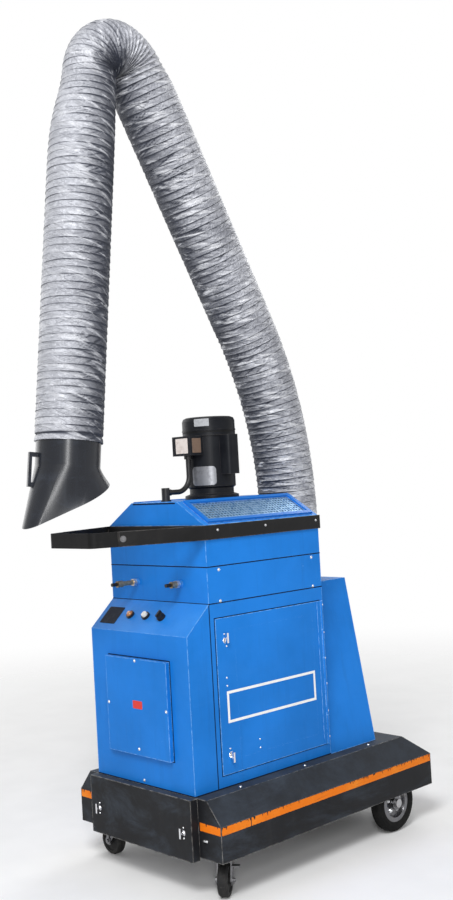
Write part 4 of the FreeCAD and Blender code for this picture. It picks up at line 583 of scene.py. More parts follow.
class Paint:
    """The finishes of this part."""

    # Blue: its light-blue bare colour and high wear paint highlights along folded edges; its bright blue dust
    # paints top light on level tops and the console slope.
    BLUE = Enamel("cabinet_enamel", (0.0070, 0.172, 0.590), grime=(0.009, 0.062, 0.21),
                  bare=(0.30, 0.56, 0.90), dust=(0.080, 0.33, 0.80), rough=0.36, dirt=0.26, wear_and_edge_highlight=0.80,
                  dusty_and_top_light=0.42, peel=0.10, shine=0.13, film=0.05)
    BLACK = Enamel("chassis_enamel", (0.0085, 0.0090, 0.0108), grime=(0.034, 0.032, 0.031),
                   bare=(0.34, 0.33, 0.31), dust=(0.052, 0.066, 0.088), rough=0.44, dirt=0.42, wear_and_edge_highlight=0.85,
                   dusty_and_top_light=0.80, peel=0.16, shine=0.13, film=0.50)
    RAIL = Enamel("rail_enamel", (0.0065, 0.0064, 0.0068), grime=(0.026, 0.024, 0.022),
                  bare=(0.16, 0.15, 0.14), dust=(0.034, 0.034, 0.036), rough=0.44, dirt=0.35, wear_and_edge_highlight=0.70,
                  dusty_and_top_light=0.45, peel=0.14, shine=0.14, film=0.30)
    MOTOR = Enamel("motor_enamel", (0.0045, 0.0054, 0.0080), grime=(0.022, 0.020, 0.019),
                   bare=(0.09, 0.08, 0.075), dust=(0.026, 0.027, 0.030), rough=0.36, dirt=0.38, wear_and_edge_highlight=0.45,
                   dusty_and_top_light=0.50, peel=0.30, shine=0.11, film=0.20)
    # Hood: its bluish dust colour under a heavy smear film paints a sheen of sky reflection over the black.
    HOOD = Enamel("hood_enamel", (0.0030, 0.0044, 0.0085), grime=(0.022, 0.028, 0.040),
                  bare=(0.08, 0.085, 0.10), dust=(0.036, 0.047, 0.070), rough=0.27, dirt=0.40, wear_and_edge_highlight=0.30,
                  dusty_and_top_light=0.20, peel=0.04, shine=0.38, film=0.45)
    STEEL = Plated("bare_steel", (0.44, 0.44, 0.45), dull=(0.20, 0.18, 0.165), rough=0.38, stain=0.55)
    CHROME = Plated("latch_chrome", (0.80, 0.80, 0.82), dull=(0.40, 0.38, 0.36), rough=0.14, stain=0.30)
    # dark colour and heavy stain: painted shade over the rims' plating
    RIM = Plated("shaded_rim_plate", (0.19, 0.19, 0.20), dull=(0.050, 0.047, 0.043), rough=0.24, stain=0.90)
    FORK = Plated("fork_zinc", (0.20, 0.20, 0.21), dull=(0.07, 0.064, 0.058), rough=0.40, stain=0.70)
    SCREW = Plated("screw_zinc", (0.78, 0.79, 0.80), dull=(0.42, 0.42, 0.44), rough=0.26, stain=0.35)
    COUPLING = Coupling("air_coupling")
    GRILLE = RimmedMesh("grille_zinc")
    TANK = Plated("tank_metal", (0.55, 0.56, 0.57), dull=(0.32, 0.32, 0.32), rough=0.38, stain=0.35)
    TYRE = Rubber("tyre_rubber", (0.0070, 0.0070, 0.0072), dust=(0.030, 0.029, 0.027), rough=0.80,
                  bloom=0.45, grain=0.35, shine=0.10)
    TREAD = Rubber("caster_rubber", (0.016, 0.016, 0.0165), dust=(0.075, 0.072, 0.068), rough=0.70,
                   bloom=0.60, grain=0.30, shine=0.15)
    GRIP = Rubber("grip_rubber", (0.0045, 0.0045, 0.0048), dust=(0.022, 0.021, 0.020), rough=0.62,
                  bloom=0.40, grain=0.45, shine=0.15)
    PLASTIC = Rubber("control_plastic", (0.010, 0.010, 0.011), dust=(0.050, 0.048, 0.046), rough=0.46,
                     bloom=0.30, grain=0.15, shine=0.35)
    CONDUIT = Rubber("conduit_sheath", (0.009, 0.009, 0.010), dust=(0.040, 0.039, 0.038), rough=0.46,
                     bloom=0.35, grain=0.20, shine=0.35)
    # dark navy: painted shade for the seam lines, the gaps and the roof slot
    GASKET = Rubber("painted_seam_shade", (0.003, 0.010, 0.035), dust=(0.012, 0.030, 0.075), rough=0.8,
                    bloom=0.35, grain=0.2, shine=0.1)
    BUTTON = Rubber("button_cap", (0.78, 0.77, 0.72), dust=(0.45, 0.42, 0.36), rough=0.40,
                    bloom=0.35, grain=0.05, shine=0.4)
    LENS = Lens("lamp_lens", (0.50, 0.20, 0.055), deep=(0.20, 0.06, 0.015))
    CLOTH = SilverCloth("hose_cloth")
    TAPE = Tape("edge_tape")
    PLATE = Label("bare_plate", (0.21, 0.215, 0.23), stain=(0.08, 0.08, 0.09), metal=0.6, rough=0.36,
                  rubbed=0.8)
    WHITE = Label("white_line", (0.84, 0.84, 0.82), stain=(0.50, 0.52, 0.55), rough=0.45, rubbed=0.25)
    PALE = Label("pale_label", (0.36, 0.37, 0.39), stain=(0.14, 0.14, 0.15), rough=0.5, rubbed=0.6)
    STICKER = Label("pale_sticker", (0.66, 0.60, 0.56), stain=(0.36, 0.28, 0.24), rough=0.5, rubbed=0.6)
    BROWN = Label("brown_sticker", (0.16, 0.105, 0.075), stain=(0.07, 0.05, 0.04), rough=0.5)
    RED = Label("red_tag", (0.62, 0.035, 0.025), stain=(0.30, 0.02, 0.02), rough=0.35, rubbed=0.4)
    DARK = Label("dark_plate", (0.012, 0.015, 0.026), stain=(0.060, 0.066, 0.080), rough=0.55, shine=0.05)
    PAPER = Paper("filter_paper")


@dataclass
class Surface:
    """Points and four-sided faces, a texture place for each face corner, and a tone for each point."""

    points: Array
    faces: Array
    corners: Array
    tone: Array

    def placed(self, turn: Array, shift: Sequence[float]) -> "Surface":
        """The surface turned by a matrix, then shifted."""
        points = self.points @ np.asarray(turn).T + np.asarray(shift)
        return Surface(points, self.faces, self.corners, self.tone)

    def stamped(self, turns: Array, shifts: Array) -> "Surface":
        """A copy of the surface at each of many turns and shifts.

        Args:
            turns: One matrix for each copy, as k x 3 x 3.
            shifts: One place for each copy, as k x 3.

        Returns:
            All the copies as one surface.
        """
        count = len(shifts)
        points = np.einsum("kij,nj->kni", turns, self.points) + np.asarray(shifts)[:, None, :]
        offsets = np.arange(count)[:, None, None] * len(self.points)
        faces = self.faces[None] + offsets
        return Surface(points.reshape(-1, 3), faces.reshape(-1, 4), np.tile(self.corners, (count, 1, 1)),
                       np.tile(self.tone, count))


def joined(*surfaces: Surface) -> Surface:
    """Several surfaces as one."""
    starts = np.cumsum([0, *(len(s.points) for s in surfaces[:-1])])
    return Surface(np.concatenate([s.points for s in surfaces]),
                   np.concatenate([s.faces + start for s, start in zip(surfaces, starts)]),
                   np.concatenate([s.corners for s in surfaces]), np.concatenate([s.tone for s in surfaces]))


def netted(grid: Array, around: bool = True, along: bool = False, places: Optional[Array] = None,
           tone: Optional[Array] = None) -> Surface:
    """Join a grid of points into faces: face (i, j) takes points (i, j), (i, j+1), (i+1, j+1) and (i+1, j).

    Args:
        grid: Points as rows x columns x 3.
        around: Whether the last column joins the first.
        along: Whether the last row joins the first.
        places: Texture places as (rows + 1) x (columns + 1) x 2, in metres, or none.
        tone: A tone for each point, or none.

    Returns:
        The surface.
    """
    rows, columns = grid.shape[:2]
    row, column = np.meshgrid(np.arange(rows if along else rows - 1),
                              np.arange(columns if around else columns - 1), indexing="ij")
    ups, rights = (row + 1) % rows, (column + 1) % columns
    faces = np.stack([row * columns + column, row * columns + rights, ups * columns + rights,
                      ups * columns + column], axis=-1).reshape(-1, 4)
    if places is None:
        places = np.stack(np.meshgrid(np.linspace(0, 1, rows + 1), np.linspace(0, 1, columns + 1),
                                      indexing="ij"), axis=-1)
    corners = np.stack([places[row, column], places[row, column + 1], places[row + 1, column + 1],
                        places[row + 1, column]], axis=2).reshape(-1, 4, 2)
    flat = np.zeros(rows * columns) if tone is None else tone.reshape(-1)
    return Surface(grid.reshape(-1, 3), faces, corners, flat)


def turned(profile: Sequence[Tuple[float, float]], count: int = 16, ring: bool = False) -> Surface:
    """A profile of radius and height turned about Z: (r cos t, r sin t, z); radius 0 closes a pole.

    Args:
        profile: Radius and height of each point.
        count: Number of points round the axis.
        ring: Whether the last point of the profile joins the first.

    Returns:
        The surface.
    """
    radius, height = np.asarray(profile, float).T
    angle = np.arange(count) * 2 * np.pi / count
    grid = np.stack([radius[:, None] * np.cos(angle), radius[:, None] * np.sin(angle),
                     np.repeat(height[:, None], count, 1)], axis=-1)
    return netted(grid, along=ring)


def hoop(radius: float, low: float, high: float, proud: float) -> Surface:
    """A flat band round a drum: four corners, the outer two drawn together, turned about Z as a ring."""
    return turned([(radius - proud, low), (radius + proud, low + proud), (radius + proud, high - proud),
                   (radius - proud, high)], 96, ring=True)


def plate(wide: float, high: float, corner: float, thick: float, rim: float = 0.0004,
          steps: int = 2) -> Surface:
    """A flat plate with round corners: its outline shrunk towards the middle, then dropped over the rim.

    The corners are their centres plus their radius along (cos t, sin t), and the outline is sampled evenly
    by length between them.

    Args:
        wide: Size along X.
        high: Size along Y.
        corner: Corner radius.
        thick: Height of the face over Z = 0.
        rim: Rounding of the front edge.
        steps: Number of rings from the middle to the rim.

    Returns:
        A closed plate whose back lies on Z = 0.
    """
    angle = (np.arange(32) + 0.5) * np.pi / 16
    ways = np.stack([np.cos(angle), np.sin(angle)], axis=-1)
    bends = np.sign(ways) * (np.array([wide, high]) / 2 - corner) + ways * corner
    loop = np.concatenate([bends, bends[:1]])
    length = np.append(0.0, np.cumsum(np.linalg.norm(np.diff(loop, axis=0), axis=1)))
    marks = np.sort(np.concatenate([length[:-1], np.arange(64) * length[-1] / 64]))
    outline = np.stack([np.interp(marks, length, loop[:, axis]) for axis in range(2)], axis=-1)
    inside = outline * (1.0 - 2.0 * rim / np.array([wide, high]))
    count = len(outline)
    shrink = np.linspace(0.0, 1.0, steps + 1)[:, None, None]
    face = np.concatenate([inside * shrink, np.full((steps + 1, count, 1), thick)], axis=-1)
    side = np.stack([np.column_stack([outline, np.full(count, thick - rim)]),
                     np.column_stack([outline, np.zeros(count)]), np.zeros((count, 3))])
    return netted(np.concatenate([face, side]))


def swept(sections: Array) -> Surface:
    """Closed sections joined along their run, each end drawn to its own middle."""
    ends = sections.mean(axis=1, keepdims=True) * np.ones((1, sections.shape[1], 1))
    return netted(np.concatenate([ends[:1], sections, ends[-1:]]))


def facing(normal: Sequence[float], up: Sequence[float] = (0.0, 0.0, 1.0)) -> Array:
    """The turn that takes Z to a normal and Y as near as it goes to an upward direction."""
    z_axis = np.asarray(normal, float) / np.linalg.norm(normal)
    x_axis = np.cross(up, z_axis)
    x_axis /= np.linalg.norm(x_axis)
    return np.stack([x_axis, np.cross(z_axis, x_axis), z_axis], axis=1)


def spread(shape: Surface, places: Sequence[Point], normal: Sequence[float],
           up: Sequence[float] = (0.0, 0.0, 1.0)) -> Surface:
    """Copies of a shape at several places that face the same way."""
    shifts = np.asarray(places, float)
    return shape.stamped(np.repeat(facing(normal, up)[None], len(shifts), axis=0), shifts)


def rivet(radius: float, height: float) -> Surface:
    """A domed rivet: a quarter ellipse turned about its axis, sunk a little below its seat."""
    angle = np.linspace(0.0, np.pi / 2, 5)
    dome = np.column_stack([radius * np.sin(angle), height * np.cos(angle)])
    return turned([*dome.tolist(), (radius, -0.0006), (0.0, -0.0006)], 14)


def bolt(radius: float, height: float) -> Surface:
    """A six-sided bolt head with a chamfered top on a round washer."""
    washer = turned([(0.0, height * 0.22), (radius * 1.45, height * 0.22), (radius * 1.5, height * 0.12),
                     (radius * 1.5, -0.0005), (0.0, -0.0005)], 20)
    head = turned([(0.0, height), (radius * 0.82, height), (radius, height * 0.84), (radius, height * 0.2),
                   (0.0, height * 0.2)], 6)
    return joined(washer, head)


def screw(radius: float, height: float) -> Surface:
    """A pan head on a thin washer, with a dished drive recess in the middle."""
    return turned([(0.0, height * 0.55), (radius * 0.30, height * 0.60), (radius * 0.36, height),
                   (radius * 0.75, height * 0.92), (radius, height * 0.45), (radius * 1.05, height * 0.12),
                   (radius * 1.45, height * 0.10), (radius * 1.45, -0.0005), (0.0, -0.0005)], 16)


def latch_seat() -> Surface:
    """A thin round seat under a latch, with a sloping rim."""
    return turned([(0.0, 0.0008), (0.0095, 0.0008), (0.0103, 0.0), (0.0, -0.0004)], 24)


def ring_line(left: float, right: float, low: float, high: float, line: float, lift: float) -> Surface:
    """A flat line round a rectangle: two rectangles joined as a ring, at the seat and at a low lift.

    Args:
        left: First side along X.
        right: Second side along X.
        low: First side along Y.
        high: Second side along Y.
        line: Width of the line, inwards where it is positive and outwards where it is negative.
        lift: Height of its face over Z = 0.

    Returns:
        A closed ring.
    """
    edge = np.array([(left, low), (right, low), (right, high), (left, high)])
    other = edge + line * np.array([(1, 1), (-1, 1), (-1, -1), (1, -1)])
    grid = np.stack([np.column_stack([ring, np.full(4, z)])
                     for ring, z in zip((edge, edge, other, other), (0.0, lift, lift, 0.0))])
    return netted(grid, along=True)


def wrapped(surface: Surface, radius: float, angle: float, centre: Point) -> Surface:
    """Bend a plate round an upright drum: X becomes arc length, Z the height over the drum's wall."""
    turn = angle + surface.points[:, 0] / radius
    reach = radius + surface.points[:, 2]
    points = np.stack([reach * np.cos(turn), reach * np.sin(turn), surface.points[:, 1]], axis=-1)
    return Surface(points + np.asarray(centre), surface.faces, surface.corners, surface.tone)


def make_piece(name: str, surface: Surface, finish: Finish, body: Optional[str],
               crease: float = 35.0, closed: bool = True) -> bpy.types.Object:
    """Put a surface into the scene as one piece.

    Args:
        name: The piece's name.
        surface: Its points and faces.
        finish: Its finish.
        body: The body that it rides on, or none.
        crease: Angle in degrees over which an edge stays sharp.
        closed: Whether the faces close on themselves, so that they can be turned outwards.

    Returns:
        The object.
    """
    mesh = bpy.data.meshes.new(name)
    mesh.vertices.add(len(surface.points))
    mesh.vertices.foreach_set("co", np.ascontiguousarray(surface.points, np.float32).ravel())
    mesh.loops.add(surface.faces.size)
    mesh.loops.foreach_set("vertex_index", np.ascontiguousarray(surface.faces, np.int32).ravel())
    mesh.polygons.add(len(surface.faces))
    mesh.polygons.foreach_set("loop_start", np.arange(0, surface.faces.size, 4, dtype=np.int32))
    mesh.update(calc_edges=True)
    places = np.ascontiguousarray(surface.corners, np.float32).ravel()
    mesh.uv_layers.new(name="run").uv.foreach_set("vector", places)
    mesh.attributes.new("tone", "FLOAT", "POINT").data.foreach_set("value", surface.tone.astype(np.float32))
    work = bmesh.new()
    work.from_mesh(mesh)
    bmesh.ops.remove_doubles(work, verts=work.verts, dist=1e-6)
    bmesh.ops.dissolve_degenerate(work, edges=work.edges, dist=1e-7)
    if closed:
        bmesh.ops.recalc_face_normals(work, faces=work.faces)
    work.to_mesh(mesh)
    work.free()
    mesh.polygons.foreach_set("use_smooth", np.ones(len(mesh.polygons), bool))
    mesh.set_sharp_from_angle(angle=math.radians(crease))
    mesh.materials.append(finish.material())
    piece = bpy.data.objects.new(name, mesh)
    bpy.context.scene.collection.objects.link(piece)
    if body is not None:
        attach(piece, body)
    LOG.info("piece %s: %d faces", name, len(mesh.polygons))
    return piece


def dress(finish: Finish, *nodes: str) -> None:
    """Give shown solids a finish."""
    for name in nodes:
        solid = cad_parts[name]
        if not solid.material_slots:
            solid.data.materials.append(finish.material())
        for held in solid.material_slots:
            held.material = finish.material()
        LOG.info("dressed %s in %s", name, finish.name)


def span(node: str) -> Tuple[Array, Array]:
    """Lowest and highest corner of a solid at rest."""
    low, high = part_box(node)
    return np.array(low), np.array(high)


def middle(node: str) -> Array:
    """Middle of a solid's box at rest."""
    low, high = span(node)
    return (low + high) / 2


class Side(Enum):
    """Left and right of the part, by the sign of X."""

    LEFT = -1
    RIGHT = 1

    @property
    def word(self) -> str:
        """The side's name in lower case."""
        return self.name.lower()

    @property
    def out(self) -> Point:
        """The direction away from the part's middle."""
        return (float(self.value), 0.0, 0.0)


class Assembly(ABC):
    """A group of pieces that is built and dressed together."""

    @abstractmethod
    def build(self) -> None:
        """Make the group's own pieces."""

    @abstractmethod
    def dress(self) -> None:
        """Give the group's solids their finishes."""


@dataclass
class Chassis(Assembly):
    """Black pan with worn tape along its skirt."""

    tape_wide: float = 0.025
    tape_thick: float = 0.0005
    tape_top: float = 0.2395
    tape_step: float = 0.0016
    tape_break: float = -0.205
    break_gap: float = 0.002
    front_trim: float = 0.003
    rear_trim: float = 0.004
    mouth_trim: float = 0.006
    ragged: float = 0.011
    ledge_x: float = 0.2755
    ledge_rows: Tuple[float, ...] = (-0.164, 0.141, 0.480)
    ledge_screw: Tuple[float, float] = (0.0042, 0.003)
    catch_size: Tuple[float, ...] = (0.020, 0.008, 0.0035, 0.006, 0.0015)
    catch_place: Tuple[float, float] = (0.291, 0.188)

    def build(self) -> None:
        """Tape on every side of the skirt, screws along the ledge and a catch on the front."""
        low, high = span("chassis_tub")
        rng = np.random.default_rng(11)
        for name, (start, end, out) in self.runs(low, high).items():
            strip = self.tape(np.array(start), np.array(end), np.array(out, float), rng)
            make_piece(name, strip, Paint.TAPE, "cart", crease=50)
        heads = [(side.value * self.ledge_x, y, high[2]) for side in Side for y in self.ledge_rows]
        make_piece("ledge_screws", spread(screw(*self.ledge_screw), heads, (0, 0, 1), (0, 1, 0)),
                   Paint.SCREW, "cart")
        x, z = self.catch_place
        catch = plate(*self.catch_size).placed(facing(FRONT), (x, low[1], z))
        make_piece("front_catch", catch, Paint.SCREW, "cart")

    def runs(self, low: Array, high: Array) -> Dict[str, Tuple[Point, Point, Point]]:
        """Where the strips of tape lie: along each side of the pan, apart from the drawer's mouth.

        Args:
            low: Lowest corner of the pan.
            high: Its highest corner.

        Returns:
            Start, end and outward direction of each strip, by the name of its piece.
        """
        z = self.tape_top - self.tape_wide / 2
        left, front, _ = low
        right, rear, _ = high
        near, far = front + self.front_trim, rear - self.rear_trim
        before, after = self.tape_break - self.break_gap, self.tape_break + self.break_gap
        mouth = span("drawer_front")[1][0] + self.mouth_trim
        return {
            "tape_right": ((right, after, z), (right, far, z), (1, 0, 0)),
            "tape_corner": ((right, near, z), (right, before, z), (1, 0, 0)),
            "tape_left": ((left, far, z), (left, near, z), (-1, 0, 0)),
            "tape_rear": ((right - self.rear_trim, rear, z), (left + self.rear_trim, rear, z), (0, 1, 0)),
            "tape_front_right": ((mouth, front, z), (right - self.front_trim, front, z), (0, -1, 0)),
            "tape_front_left": ((left + self.front_trim, front, z), (-mouth, front, z), (0, -1, 0)),
        }

    def tape(self, start: Array, end: Array, out: Array, rng: np.random.Generator) -> Surface:
        """One strip of tape: a rectangle carried along the skirt, its upper edge bitten by clipped waves.

        A slow wave along the strip raises the level at which the waves are clipped, so that worn runs and
        whole ones follow each other.
        """
        length = np.linalg.norm(end - start)
        count = max(24, int(length / self.tape_step))
        along = np.linspace(0.0, 1.0, count)
        waves = sum(np.sin(along * length * rng.uniform(30, 900) + rng.uniform(0, 6.28))
                    for _ in range(16)) / 4.0
        slow = 0.5 + 0.5 * np.sin(along * length * rng.uniform(6, 14) + rng.uniform(0, 6.28))
        bite = np.clip(waves - 0.25 - 0.45 * slow, 0.0, 1.0) * self.ragged
        path = start + along[:, None] * (end - start)
        upper, lower = self.tape_wide / 2 - bite, -self.tape_wide / 2 + 0.12 * bite[::-1]
        rise = np.stack([lower, upper, upper, lower], axis=1)
        proud = np.array([0.0, 0.0, self.tape_thick, self.tape_thick])
        sections = (path[:, None] + rise[..., None] * np.array([0.0, 0.0, 1.0])
                    + proud[None, :, None] * out)
        strip = swept(sections)
        strip.tone = np.concatenate([np.zeros(4), np.tile([0.0, 0.5, 0.5, 0.0], count), np.zeros(4)])
        return strip

    def dress(self) -> None:
        """Dusty black paint on pan and hangers, a bare axle."""
        dress(Paint.BLACK, "chassis_tub", "axle_hangers")
        dress(Paint.STEEL, "rear_axle")


@dataclass
class Wheels(Assembly):
    """Rear wheels and front casters."""

    lug_ring: float = 0.032
    lug_count: int = 5
    lug_start: float = 0.3
    lug_seat: float = 0.006
    lug_size: Tuple[float, float] = (0.0055, 0.006)

    def build(self) -> None:
        """A ring of bolts on the outer face of each rear rim."""
        angle = np.arange(self.lug_count) * 2 * np.pi / self.lug_count + self.lug_start
        for side in Side:
            x, y, z = middle(f"rear_rim_{side.word}")
            face = np.full(self.lug_count, x + side.value * self.lug_seat)
            spots = np.stack([face, y + self.lug_ring * np.cos(angle), z + self.lug_ring * np.sin(angle)],
                             axis=1)
            make_piece(f"wheel_bolts_{side.word}", spread(bolt(*self.lug_size), spots, side.out),
                       Paint.SCREW, f"rear_wheel_{side.word}")

    def dress(self) -> None:
        """Plated rims darkened by painted shade, plated forks, dark rubber."""
        for side in Side:
            dress(Paint.RIM, f"rear_rim_{side.word}")
            dress(Paint.TYRE, f"rear_tyre_{side.word}")
            dress(Paint.FORK, f"caster_fork_{side.word}", f"brake_lever_{side.word}")
            dress(Paint.TREAD, f"caster_wheel_{side.word}")
        dress(Paint.FORK, "caster_plates")


@dataclass
class Drawer(Assembly):
    """Dust drawer with two wing latches."""

    latch_z: float = 0.206
    rivet_size: Tuple[float, float] = (0.0034, 0.0022)
    rivet_aside: float = 0.003
    rivet_up: float = 0.0165

    def build(self) -> None:
        """Rivets above and below each latch, on a thin round seat."""
        face = span("drawer_front")[0][1]
        spots, seats = [], []
        for side in Side:
            x = middle(f"drawer_latch_{side.word}")[0]
            spots += [(x + self.rivet_aside, face, self.latch_z + self.rivet_up),
                      (x + self.rivet_aside, face, self.latch_z - self.rivet_up)]
            seats.append((x, face, self.latch_z))
        make_piece("drawer_rivets", spread(rivet(*self.rivet_size), spots, FRONT), Paint.SCREW, "drawer")
        make_piece("drawer_latch_seats", spread(latch_seat(), seats, FRONT), Paint.CHROME, "drawer")

    def dress(self) -> None:
        """Black front, bare tray, bright latches."""
        dress(Paint.BLACK, "drawer_front")
        dress(Paint.STEEL, "drawer_tray")
        dress(Paint.CHROME, "drawer_latch_left", "drawer_latch_right")


@dataclass
class Cabinet(Assembly):
    """Blue cabinet, plenum, blower housing and roof."""

    # width and lift of the painted shade lines along the seams
    gasket: float = 0.0038
    shade_line_proud: float = 0.0007
    gap_proud: float = 0.0005
    console_seam: Tuple[float, float, float] = (-0.2337, 0.314, 0.899)
    seam_screw: Tuple[float, float] = (0.0036, 0.0026)
    seam_rows: Tuple[float, float] = (-0.182, 0.262)
    seam_down: float = 0.0115
    seam_up: float = 0.0055
    slot: Tuple[float, ...] = (0.222, 0.0050, 0.0012, 0.0006)
    cover_screws: Tuple[Tuple[float, float], ...] = (
        (0.0, 0.7196), (0.1487, 0.570), (-0.1487, 0.570), (0.0018, 0.4318))
    foot_screw: Tuple[float, float] = (0.0, 0.327)
    tag: Tuple[float, ...] = (0.048, 0.026, 0.003, 0.0009)
    tag_place: Tuple[float, float] = (0.0046, 0.5763)

    def build(self) -> None:
        """Painted shade lines along the seams and their screws, a dark plate of painted shade for the roof's
        slot, and the painted shade line in the gap, screws and red tag of the cover.
        """
        self.seams(*span("plenum_module"))
        low, high = span("top_hood")
        # roof slot: a dark plate of painted shade
        slot = plate(*self.slot).placed(facing(FRONT), (0.0, low[1], high[2] - self.slot[1]))
        make_piece("roof_slot", slot, Paint.GASKET, "cart")
        self.cover(*span("access_cover"))

    def seams(self, low: Array, high: Array) -> None:
        """Painted shade lines in the seams round the cabinet and up its sides, and the screws beside them.

        Args:
            low: Lowest corner of the plenum.
            high: Its highest corner.
        """
        deck = span("chassis_tub")[1][2]
        foot = np.array([low[0], span("cabinet_shell")[0][1], deck])
        # painted shade lines along the seams and the cabinet's foot
        for name, corner, z in (("seam_lower", low, low[2]), ("seam_upper", low, high[2]),
                                ("seam_foot", foot, deck + self.gasket / 2)):
            make_piece(name, self.seam(corner, high, z), Paint.GASKET, "cart", crease=20)
        y, bottom, top = self.console_seam
        # painted shade lines down the console's seams
        strip = plate(self.gasket, top - bottom, 0.0006, self.gap_proud)
        for side in Side:
            seam = strip.placed(facing(side.out), (side.value * high[0], y, (bottom + top) / 2))
            make_piece(f"console_seam_{side.word}", seam, Paint.GASKET, "cart")
        levels = (high[2] - self.seam_down, low[2] + self.seam_up)
        for side in Side:
            heads = [(side.value * high[0], row, z) for z in levels for row in self.seam_rows]
            make_piece(f"seam_screws_{side.word}", spread(screw(*self.seam_screw), heads, side.out),
                       Paint.SCREW, "cart")

    def seam(self, low: Array, high: Array, z: float) -> Surface:
        """A painted shade line round the cabinet: a small half-round profile carried along a rectangle."""
        inner = np.array([(low[0], low[1]), (high[0], low[1]), (high[0], high[1]), (low[0], high[1])])
        outer = inner + self.shade_line_proud * np.array([(-1, -1), (1, -1), (1, 1), (-1, 1)])
        half = self.gasket / 2
        levels = (-half, -half * 0.5, half * 0.5, half)
        grid = np.stack([np.column_stack([ring, np.full(4, z + lift)])
                         for ring, lift in zip((inner, outer, outer, inner), levels)])
        return netted(grid, along=True)

    def cover(self, low: Array, high: Array) -> None:
        """A painted shade line in the gap round the access cover, its screws, one more below it, and the
        blank tag.

        Args:
            low: Lowest corner of the cover.
            high: Its highest corner.
        """
        wall = span("cabinet_shell")[0][1]
        # painted shade line in the gap round the cover
        gap = ring_line(low[0], high[0], low[2], high[2], -self.gasket, self.gap_proud)
        make_piece("cover_gap", gap.placed(facing(FRONT), (0.0, wall, 0.0)), Paint.GASKET, "cart")
        heads = [(x, low[1], z) for x, z in self.cover_screws]
        heads.append((self.foot_screw[0], wall, self.foot_screw[1]))
        make_piece("cover_screws", spread(screw(*self.seam_screw), heads, FRONT), Paint.SCREW, "cart")
        x, z = self.tag_place
        make_piece("blank_tag", plate(*self.tag).placed(facing(FRONT), (x, low[1], z)), Paint.RED, "cart")

    def dress(self) -> None:
        """Blue panels, zinc grilles, brass couplings, and plain metal and filter paper inside."""
        dress(Paint.BLUE, "cabinet_shell", "plenum_module", "blower_module", "top_hood", "rear_duct_housing",
              "access_cover")
        dress(Paint.GRILLE, "exhaust_grille_left", "exhaust_grille_right")
        dress(Paint.STEEL, "tube_sheet")
        dress(Paint.PAPER, "filter_cartridge")
        dress(Paint.TANK, "pulse_air_header", "blower_wheel")
        dress(Paint.COUPLING, "air_couplings")


@dataclass
class Door(Assembly):
    """Side door with a piano hinge, two latches and a plain white border."""

    border: Tuple[float, float, float, float] = (-0.178, 0.244, 0.514, 0.6155)
    line: float = 0.0085
    line_proud: float = 0.0004
    gap: float = 0.0030
    gap_proud: float = 0.0005
    rivet_size: Tuple[float, float] = (0.0032, 0.0022)
    rivet_places: Tuple[Tuple[float, float], ...] = (
        (-0.1745, 0.6589), (-0.1745, 0.6333), (-0.0404, 0.4355), (-0.0404, 0.4079))
    latch_rivet: Tuple[float, float] = (0.004, 0.020)
    hinge_rivet: Tuple[float, float] = (0.0040, 0.0028)
    hinge_x: float = 0.2505
    hinge_inset: float = 0.0035
    hinge_rows: Tuple[float, ...] = (0.8368, 0.7399, 0.650, 0.560, 0.4655, 0.3758)

    def build(self) -> None:
        """Rivets, latch seats, the plain border and a painted shade line in the gap round the door."""
        low, high = span("side_door")
        face = high[0]
        spots, seats = [(face, y, z) for y, z in self.rivet_places], []
        aside, up = self.latch_rivet
        for level in ("upper", "lower"):
            _, y, z = middle(f"door_latch_{level}")
            spots += [(face, y - aside, z + up), (face, y + aside, z - up)]
            seats.append((face, y, z))
        make_piece("door_rivets", spread(rivet(*self.rivet_size), spots, RIGHT), Paint.SCREW, "door")
        make_piece("door_latch_seats", spread(latch_seat(), seats, RIGHT), Paint.CHROME, "door")
        leaf = span("door_hinge_fixed")[1][1] - self.hinge_inset
        pins = [(self.hinge_x, leaf, z) for z in self.hinge_rows]
        make_piece("hinge_rivets", spread(rivet(*self.hinge_rivet), pins, RIGHT), Paint.SCREW, "cart")
        border = ring_line(*self.border, self.line, self.line_proud)
        make_piece("door_border", border.placed(facing(RIGHT), (face, 0.0, 0.0)), Paint.WHITE, "door")
        # painted shade line in the gap round the door
        gap = ring_line(low[1], high[1], low[2], high[2], -self.gap, self.gap_proud)
        wall = span("plenum_module")[1][0]
        make_piece("door_gap", gap.placed(facing(RIGHT), (wall, 0.0, 0.0)), Paint.GASKET, "cart")

    def dress(self) -> None:
        """Blue door and hinge, bright latches."""
        dress(Paint.BLUE, "side_door", "door_hinge_fixed", "door_hinge_moving")
        dress(Paint.CHROME, "door_latch_upper", "door_latch_lower")


@dataclass
class Console(Assembly):
    """Controls on the sloping console."""

    normal: Point = (0.0, -0.6730, 0.7396)
    uphill: Point = (0.0, 0.7396, 0.6730)
    plate_size: Tuple[float, ...] = (0.082, 0.072, 0.004, 0.0010)
    plate_place: Point = (-0.186, 0.0456, 0.8515)

    def build(self) -> None:
        """A dark bare plate at the left end of the slope, placed from the cabinet's front."""
        x, behind, z = self.plate_place
        place = (x, span("cabinet_shell")[0][1] + behind, z)
        bare = plate(*self.plate_size, steps=3).placed(facing(self.normal, self.uphill), place)
        make_piece("rating_plate", bare, Paint.DARK, "cart")

    def dress(self) -> None:
        """Amber lens, pale button, black knob and rings."""
        dress(Paint.LENS, "indicator_lamp")
        dress(Paint.BUTTON, "push_button")
        dress(Paint.PLASTIC, "selector_knob", "control_bezels")


